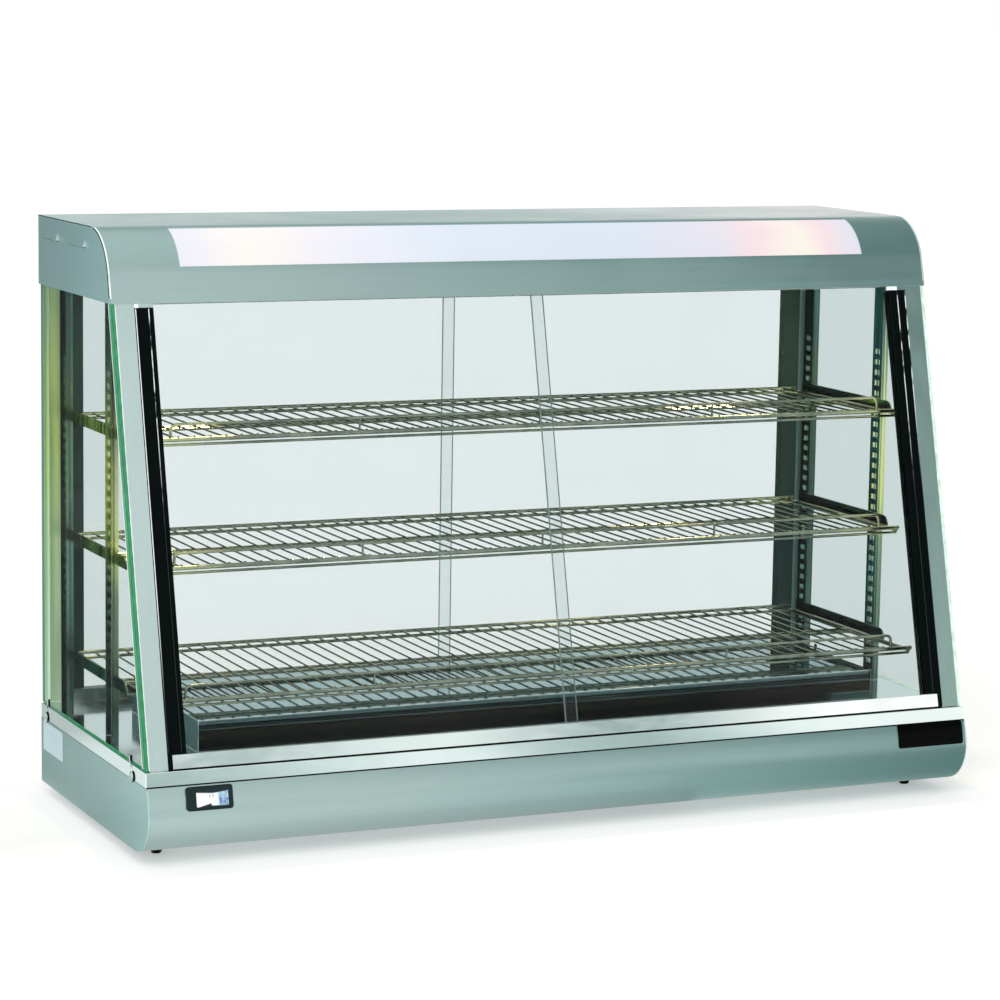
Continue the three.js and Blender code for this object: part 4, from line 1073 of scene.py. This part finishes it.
def louvre_cheek(name, sign, y):
    """The small triangular end of a louvre's lip, in near-white steel that paints its glint."""
    bm = bmesh.new()
    prism(bm, [ring_of(bm, [(sign * (END_SKIN + out), place, LOUVRE_Z + up) for out, up in CHEEK])
               for place in (y, y + CHEEK_THICK)])
    soften(bm, 0.12, 1)
    piece(name, bm, [louvre_glint_bright])


for side, sign in SIGNS.items():
    # Bright bars paint highlights on the seams and corners, dark bars paint shadow lines at the joints and
    # louvres, and the cheeks paint glints
    seam_material = painted_highlight_white if side == "left" else satin_rim_highlight
    bar("canopy_seam_highlight_" + side, canopy_edge(sign * SEAM_X, SEAM_INSET), SEAM_RADIUS, seam_material,
        10)
    joint("canopy_joint_shadow_" + side, canopy_edge(sign * JOINT_X, JOINT_INSET), JOINT_RADIUS, 10)
    top_joint = [(sign * END_SKIN, y, CANOPY_TOP - JOINT_RADIUS) for y in TOP_JOINT_ENDS]
    joint("canopy_top_joint_shadow_" + side, top_joint, JOINT_RADIUS)
    heights = (*range(CORNER_LINE_TOP, BASE_APEX, -6), *range(BASE_APEX, CORNER_LINE_FOOT, -5))
    corner_line = [(sign * CORNER_LINE_X, base_skin_y(z) + CORNER_LINE_SINK, z) for z in heights]
    bar("base_corner_highlight_" + side, corner_line, 1.0, satin_rim_highlight)
    deck_line = [(sign * DECK_RIM_X, DECK_RIM_Y, z) for z in DECK_RIM_HEIGHTS]
    bar("deck_corner_highlight_" + side, deck_line, 0.7, painted_highlight_white)
    for i, y in enumerate(LOUVRES_Y):
        shadow = [(sign * 600.1, y + half, LOUVRE_Z) for half in (LOUVRE_HALF, -LOUVRE_HALF)]
        joint(f"louvre_shadow_{side}_{i}", shadow, 0.9)
        louvre_cheek(f"louvre_cheek_{side}_{i}", sign, y - LOUVRE_HALF - 0.9)

# Dark bars along the deck's front and the lower track's foot: painted shadow lines
DECK_JOINT_HALF, DECK_JOINT_Y, DECK_JOINT_Z = 599.2, -229.35, 106.95
TRACK_JOINT_HALF, TRACK_JOINT_Z = 561, 126.8
track_joint_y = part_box("front_track_lower")[0].y / MM - 0.3
joint("deck_front_joint_shadow", [(x, DECK_JOINT_Y, DECK_JOINT_Z) for x in (-DECK_JOINT_HALF, DECK_JOINT_HALF)], 0.75)
track_joint = [(x, track_joint_y, TRACK_JOINT_Z) for x in (-TRACK_JOINT_HALF, TRACK_JOINT_HALF)]
joint("track_foot_joint_shadow", track_joint, 0.65)
window_lip = canopy_point(WINDOW_TURN, 0.5)
bar("window_top_bead", [(x, *window_lip) for x in (-WINDOW_HALF, WINDOW_HALF)], 0.9, satin)


# Lips and end tabs of the front seals, with painted highlights

TAB_Z = 701.6
TAB_HIGH = 5.2


def painted_lip_highlight(name, breaks, fade):
    """Glossy lip of the seal with a painted highlight and glow, which break up along its length and fade
    towards the deck.
    """
    look = Look(name).set(IOR=1.4)
    broken = look.noise((160, 160, 40), 2.0, 0.4, 0.5)
    shades = ((0.010, 0.016, 0.016), (0.35, 0.39, 0.38), (0.92, 0.95, 0.95))
    shade = look.ramp(broken, tuple(zip(breaks, shades)))
    shade = look.mixed(look.remap(look.along("Z"), *fade, smooth=True), (0.006, 0.010, 0.010), shade)
    look.color(shade)
    look.glow(shade, 0.22)
    look.rough(look.spread(broken, 0.25, 0.4))
    return look.material


lip_broken = painted_lip_highlight("seal_lip_highlight_broken", (0.38, 0.45, 0.52), (0.42, 0.60))
lip_whole = painted_lip_highlight("seal_lip_highlight_whole", (0.20, 0.27, 0.34), (0.20, 0.36))


def skin_offset(name):
    """How far a leaning node's foremost skin stands behind the glazed plane; less than 0 is before it."""
    node = nodes[name]
    points = [node.matrix_world @ vert.co / MM for vert in node.data.vertices]
    return min((point.y - front_y(point.z)) * math.cos(GLAZING_SLANT) for point in points)


def on_front(x0, z0, lift):
    """Places a plate on the slanted front, centred at x0 and z0."""
    def place(across, up, out):
        z = z0 + up * math.cos(GLAZING_SLANT)
        return x0 + across, front_y(z) - (out + lift) / math.cos(GLAZING_SLANT), z
    return place


def seal_trim(side, lips, tab_x, tab_width):
    """Two lips with painted highlights along a front seal, and the tab over its upper end in a painted
    highlight.
    """
    low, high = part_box("front_seal_" + side)
    offset = skin_offset("front_seal_" + side)
    for i, (x, material) in enumerate(lips):
        ends = [(x, front_y(z) + offset / math.cos(GLAZING_SLANT) - 0.1, z)
                for z in (low.z / MM + 22, high.z / MM - 1.5)]
        bar(f"seal_lip_{side}_{i}", ends, 0.6, material)
    tab_place = on_front(tab_x, TAB_Z, max(-offset, 0) + 0.2)
    plate("seal_end_tab_" + side, tab_width, TAB_HIGH, 0.5, 0.5, tab_place, painted_highlight_white, 0.1)


seal_trim("left", ((-566.6, lip_whole), (-549.2, lip_broken)), -565.6, 5.6)
seal_trim("right", ((554.4, lip_broken), (567.0, lip_broken)), 546, 17)


# Front edge of the left side pane

PANE_HEIGHTS = (128.0, 703.8)
# Places across, and behind the glazed plane, round the edge's section
BAND_SECTION = ((-598.55, 0.2), (-598.85, 0.2), (-598.85, 9.4), (-598.85, 11.8), (-598.55, 11.8))
BAND_LINE_FACE = 2


def edge_band():
    """Painted green glow along the left pane's front edge, for the light that gathers there, behind a bright
    outer line that paints a highlight.
    """
    bm = bmesh.new()
    rings = [ring_of(bm, [(x, front_y(z) + back, z) for x, back in BAND_SECTION]) for z in PANE_HEIGHTS]
    prism(bm, rings)[BAND_LINE_FACE].material_index = 1
    piece("side_glass_left_glow_band", bm, [edge_green, painted_highlight_white], smooth=False)
    ends = [(-593.35, front_y(z) - 0.1, z) for z in PANE_HEIGHTS]
    bar("side_glass_left_highlight", ends, 0.65, painted_highlight_white)


edge_band()


# Thermometer face

METER_X, METER_Z = -518, 90
METER_LIFT = 3.3
BEZEL_WIDE, BEZEL_HIGH, BEZEL_THICK = 62, 31, 3.0
WINDOW_WIDE, WINDOW_HIGH, WINDOW_SHIFT = 43, 22.4, 3.0
WINDOW_SINK = 0.42


def meter_place(across, up, out):
    """Across, up and out from the bezel's outer face, on the leaning base front."""
    lean = base_lean(METER_Z)
    depth = out + METER_LIFT
    return (METER_X + across,
            base_skin_y(METER_Z) - depth * math.cos(lean) + up * math.sin(lean),
            METER_Z + depth * math.sin(lean) + up * math.cos(lean))


def bezel_place(across, up, out):
    return meter_place(across, up, out - BEZEL_THICK)


def window_place(across, up, out):
    return meter_place(across + WINDOW_SHIFT, up, out - WINDOW_SINK)


def display():
    """Window of the panel thermometer, with a painted reflection of a bright studio panel in its dished face,
    and a painted glow.
    """
    look = Look("meter_window_dished").set(IOR=1.3)
    middle = METER_X + WINDOW_SHIFT
    share = look.remap(look.along("X"), (middle - WINDOW_WIDE / 2) * MM, (middle + WINDOW_WIDE / 2) * MM)
    height = height_share(look, METER_Z - WINDOW_HIGH / 2, METER_Z + WINDOW_HIGH / 2)
    foot = look.graded(share, greys((0.0, 0.0), (0.45, 0.20), (0.47, 0.07), (1.0, 0.04)))
    head = look.graded(share, greys((0.0, 0.88), (0.5, 0.80), (0.7, 0.83), (1.0, 0.90)))
    above_foot = look.remap(look.math("SUBTRACT", height, foot), 0.0, 0.05)
    below_head = look.remap(look.math("SUBTRACT", head, height), 0.0, 0.05)
    # Where the painted reflection of the bright panel lies
    lit = look.math("MULTIPLY", above_foot, below_head)
    cloud = look.noise((190, 190, 150), 2.0, 0.5)
    blue = look.ramp(cloud, (
        (0.38, (0.22, 0.20, 0.50)), (0.52, (0.30, 0.52, 0.68)), (0.7, (0.48, 0.68, 0.80))))
    white = look.ramp(share, (
        (0.0, (0.96, 0.93, 0.97)), (0.4, (1.0, 0.97, 0.98)), (0.66, (0.80, 0.92, 0.96))))
    glass = look.mixed(look.remap(share, 0.68, 0.71), white, blue)
    shade = look.mixed(lit, (0.012, 0.030, 0.034), glass)
    look.color(look.mixed(0.6, shade, BLACK))
    look.glow(shade, 0.68)
    look.rough(look.spread(cloud, 0.08, 0.16))
    return look.material


plate("thermometer_bezel", BEZEL_WIDE, BEZEL_HIGH, BEZEL_THICK, 4, bezel_place, meter_black,
      0.9, stands_for="thermometer")
plate("meter_window", WINDOW_WIDE, WINDOW_HIGH, 0.5, 1.2, window_place, display(), 0.15)

# Strokes of a seven-segment digit, and those that each digit shows
STROKES = {"a": ((-1, 2), (1, 2)), "b": ((1, 2), (1, 0)), "c": ((1, 0), (1, -2)), "d": ((-1, -2), (1, -2)),
           "e": ((-1, 0), (-1, -2)), "f": ((-1, 2), (-1, 0)), "g": ((-1, 0), (1, 0))}
DIGITS = {"6": "acdefg", "5": "acdfg"}
DIGIT_SCALE = 0.85
DIGIT_RISE = 2.2
STROKE_HALF = 0.22
STROKE_GAP = 0.15
INK_DEPTHS = (0.06, 0.15)
digit_ink = plastic("meter_digit_ink", (0.16, 0.10, 0.12), 0.4, 500.0, depth=0.002, variation=0.3)


def stroke(bm, middle, start, end):
    """One raised stroke of a digit whose middle is at a place across the face."""
    run = (Vector(end) - Vector(start)).normalized()
    side = Vector((-run.y, run.x)) * STROKE_HALF
    centre = Vector((middle, DIGIT_RISE))
    first = centre + Vector(start) * DIGIT_SCALE + run * STROKE_GAP
    last = centre + Vector(end) * DIGIT_SCALE - run * STROKE_GAP
    flat = (first - side, last - side, last + side, first + side)
    prism(bm, [ring_of(bm, [meter_place(point.x + WINDOW_SHIFT, point.y, out) for point in flat])
               for out in INK_DEPTHS])


def digits():
    bm = bmesh.new()
    for middle, digit in ((-3.2, "6"), (0.6, "5")):
        for key in DIGITS[digit]:
            stroke(bm, middle, *STROKES[key])
    piece("meter_digits", bm, [digit_ink], smooth=False)


digits()


# Floor, studio cards, light and camera, in metres

FLOOR_GREY = (0.80, 0.80, 0.80)
FLOOR_GLOW = 0.34
WORLD_DIM = 0.62


def seen_rays(tree):
    """1 for rays that come from the camera, a mirror or glass, and 0 for the others."""
    path = tree.nodes.new("ShaderNodeLightPath")
    seen = path.outputs["Is Camera Ray"]
    for kind in ("Is Glossy Ray", "Is Transmission Ray"):
        either = tree.nodes.new("ShaderNodeMath")
        either.operation = "MAXIMUM"
        tree.links.new(seen, either.inputs[0])
        tree.links.new(path.outputs[kind], either.inputs[1])
        seen = either.outputs[0]
    return seen


def stage_sheet(name, corner_points, material):
    """One flat sheet of the studio."""
    mesh = bpy.data.meshes.new(name)
    mesh.from_pydata(corner_points, [], [(0, 1, 2, 3)])
    mesh.materials.append(material)
    obj = bpy.data.objects.new(name, mesh)
    scene_objects.link(obj)
    return obj


def standing(left, right, y, low, high):
    return [(left, y, low), (right, y, low), (right, y, high), (left, y, high)]


def lying(left, right, near, far, z):
    return [(left, near, z), (right, near, z), (right, far, z), (left, far, z)]


def floor_material():
    """White table: takes the object's shadow, and shows as plain white elsewhere."""
    look = Look("floor_white").set(Specular_IOR_Level=0.0, Roughness=1.0)
    look.color(look.ramp(look.noise(1.3, 2.0), plain(FLOOR_GREY)))
    emission = look.node("ShaderNodeEmission")
    look.link(look.math("MULTIPLY", seen_rays(look.tree), FLOOR_GLOW), emission.inputs["Strength"])
    both = look.node("ShaderNodeAddShader")
    look.link(look.shader.outputs[0], both.inputs[0])
    look.link(emission.outputs[0], both.inputs[1])
    look.surface(both.outputs[0])
    return look.material


def teal(value):
    """Grey of a studio card; the darker, the more it leans to blue-green."""
    return (value * (0.61 + 0.33 * value), value, value * (0.96 + 0.03 * value))


def card(name, corner_points, stops, fade=None):
    """A shade card that only reflections see, graded along X, and along Y or Z where it has a fade."""
    look = Look(name + "_shade")
    emission = look.node("ShaderNodeEmission")
    shade = look.graded(look.along("X"), [(place, teal(value)) for place, value in stops])
    look.link(shade, emission.inputs["Color"])
    if fade:
        axis, *ranges = fade
        look.link(look.remap(look.along(axis), *ranges, smooth=True), emission.inputs["Strength"])
    look.surface(emission.outputs[0])
    obj = stage_sheet(name, corner_points, look.material)
    obj.visible_camera = False
    obj.visible_diffuse = False
    obj.visible_transmission = False
    obj.visible_shadow = False
    obj.visible_volume_scatter = False


stage_sheet("floor", lying(-30, 30, -30, 30, 0), floor_material())

# Cards before the case
card("card_front_low", standing(0.0, 8, -5, 0, 1.9),
     [(0.0, 1.15), (1.1, 1.15), (1.7, 1.05), (2.3, 0.80), (3.5, 0.50), (8.0, 0.42)])
card("card_front_high", standing(0.0, 8, -5, 1.9, 4.6),
     [(0.0, 1.12), (1.2, 1.10), (1.5, 1.02), (1.75, 0.92), (2.4, 0.60), (3.0, 0.36), (3.4, 0.22), (3.7, 0.15),
      (8.0, 0.12)], fade=("Z", 1.9, 2.4, 1.6, 1.0))
card("card_track", standing(0.6, 5.5, -4.95, 1.0, 1.52),
     [(0.6, 0.33), (1.07, 0.40), (1.32, 0.52), (1.6, 0.90), (1.91, 1.10), (2.22, 0.42), (2.48, 0.32),
      (2.7, 0.54), (2.92, 1.25), (3.19, 1.35), (5.5, 1.45)])

# Cards on the table, whose heights differ a little where they overlap
card("card_floor", lying(-0.75, 3.2, -0.58, 0.1, 0.001),
     [(-0.75, 1.06), (-0.5, 1.06), (-0.2, 0.98), (0.0, 0.90), (0.13, 0.82), (0.27, 0.68), (0.4, 0.52),
      (0.56, 0.42), (0.71, 0.32), (3.2, 0.28)], fade=("Y", -0.34, -0.12, 1.0, 0.52))
card("card_under", lying(0.2, 3.2, -0.38, -0.13, 0.0013),
     [(0.2, 0.66), (0.27, 0.64), (0.43, 0.54), (0.57, 0.45), (0.75, 0.39), (3.2, 0.35)])
card("card_near", lying(-0.75, 3.2, -1.0, -0.58, 0.001),
     [(-0.75, 0.48), (-0.40, 0.56), (-0.28, 0.66), (-0.14, 0.85), (0.0, 0.97), (0.06, 0.94), (0.16, 0.66),
      (0.25, 0.56), (0.34, 0.51), (0.45, 0.67), (0.52, 0.82), (0.60, 1.0), (0.70, 1.04), (3.2, 1.04)])
card("card_left_floor", lying(-1.9, -0.62, -0.3, 2.2, 0.0012), [(-1.9, 0.56), (-0.62, 0.56)])
card("card_deck_side", lying(-0.80, -0.71, 0.1, 0.75, 0.0016), [(-0.80, 0.86), (-0.71, 0.86)],
     fade=("Y", 0.42, 0.62, 1.0, 0.66))

# Cards over, behind and beside the case
card("card_over", lying(-1.5, 6, -5, 3.4, 4),
     [(-1.5, 0.90), (-0.3, 0.95), (0.6, 0.97), (1.4, 0.60), (2.4, 0.38), (3.9, 0.24), (6.0, 0.20)])
card("card_rear", standing(-1.2, 6, 3.4, 1.9, 4.0),
     [(-1.2, 0.60), (0.6, 0.50), (1.6, 0.46), (2.4, 0.50), (3.0, 0.70), (6.0, 0.70)])
card("card_top", standing(0.1, 4.5, 3.4, 0.78, 1.9),
     [(0.1, 1.15), (0.7, 1.18), (1.1, 1.12), (1.44, 1.14), (1.8, 1.40), (2.15, 1.62), (2.4, 1.75),
      (4.5, 1.75)])
card("card_left", [(-3.6, 2.2, 0.0), (-0.9, 3.2, 0.0), (-0.9, 3.2, 3.0), (-3.6, 2.2, 3.0)],
     [(-3.6, 0.58), (-0.9, 0.58)])
card("card_back", standing(-1.12, -0.3, 2.6, 0.0, 1.6), [(-1.12, 0.14), (-0.3, 0.20)])


def light_world():
    """A white surround that lights the case less than it shows."""
    world = bpy.data.worlds.new("studio")
    bpy.context.scene.world = world
    world.use_nodes = True
    tree = world.node_tree
    background = tree.nodes["Background"]
    background.inputs["Color"].default_value = (*WHITE, 1.0)
    level = tree.nodes.new("ShaderNodeMapRange")
    level.inputs["To Min"].default_value = WORLD_DIM
    level.inputs["To Max"].default_value = 1.0
    tree.links.new(seen_rays(tree), level.inputs["Value"])
    tree.links.new(level.outputs["Result"], background.inputs["Strength"])


def lamp(name, kind, place, towards, energy, color, **settings):
    data = bpy.data.lights.new(name, kind)
    data.energy = energy
    data.color = color
    for key, value in settings.items():
        setattr(data, key, value)
    obj = bpy.data.objects.new(name, data)
    scene_objects.link(obj)
    obj.location = place
    obj.rotation_mode = "QUATERNION"
    obj.rotation_quaternion = (Vector(towards) - Vector(place)).to_track_quat("-Z", "Y")
    return obj


LAMP_X, LAMP_Y, LAMP_Z = 0.415, 0.012, 0.718

light_world()
key = lamp("key", "SUN", (-2.5, -3.5, 4.5), (0, 0, 0), 1.1, (1.0, 0.99, 0.97), angle=math.radians(50))
key.visible_glossy = False
for side, sign in SIGNS.items():
    x = sign * LAMP_X
    lamp("heat_lamp_" + side, "AREA", (x, LAMP_Y, LAMP_Z), (x, LAMP_Y, 0.0), 2.2, (1.0, 0.78, 0.42),
         shape="RECTANGLE", size=0.10, size_y=0.07)

# The camera solved from the photograph: its turn, place, and focal length as a share of the sensor's width
AZIMUTH = math.radians(24.189)
ELEVATION = math.radians(8.4363)
ROLL = math.radians(0.8965)
CAMERA_PLACE = (-1.88102, -4.15286, 1.08948)
SENSOR_WIDTH = 36.0
FOCAL_SHARE = 3.34535


def photo_camera():
    flat = math.cos(ELEVATION)
    ahead = Vector((math.sin(AZIMUTH) * flat, math.cos(AZIMUTH) * flat, -math.sin(ELEVATION)))
    level_right = ahead.cross(Vector((0, 0, 1))).normalized()
    level_up = level_right.cross(ahead)
    right = level_right * math.cos(ROLL) + level_up * math.sin(ROLL)
    up = level_up * math.cos(ROLL) - level_right * math.sin(ROLL)
    data = bpy.data.cameras.new("photo_camera")
    data.sensor_width = SENSOR_WIDTH
    data.lens = SENSOR_WIDTH * FOCAL_SHARE
    data.clip_start = 0.1
    data.clip_end = 200.0
    camera = bpy.data.objects.new("photo_camera", data)
    scene_objects.link(camera)
    turn = Matrix((right, up, -ahead)).transposed().to_4x4()
    camera.matrix_world = Matrix.Translation(Vector(CAMERA_PLACE)) @ turn
    return camera


bpy.context.scene.camera = photo_camera()
bpy.context.scene.view_settings.view_transform = "Standard"
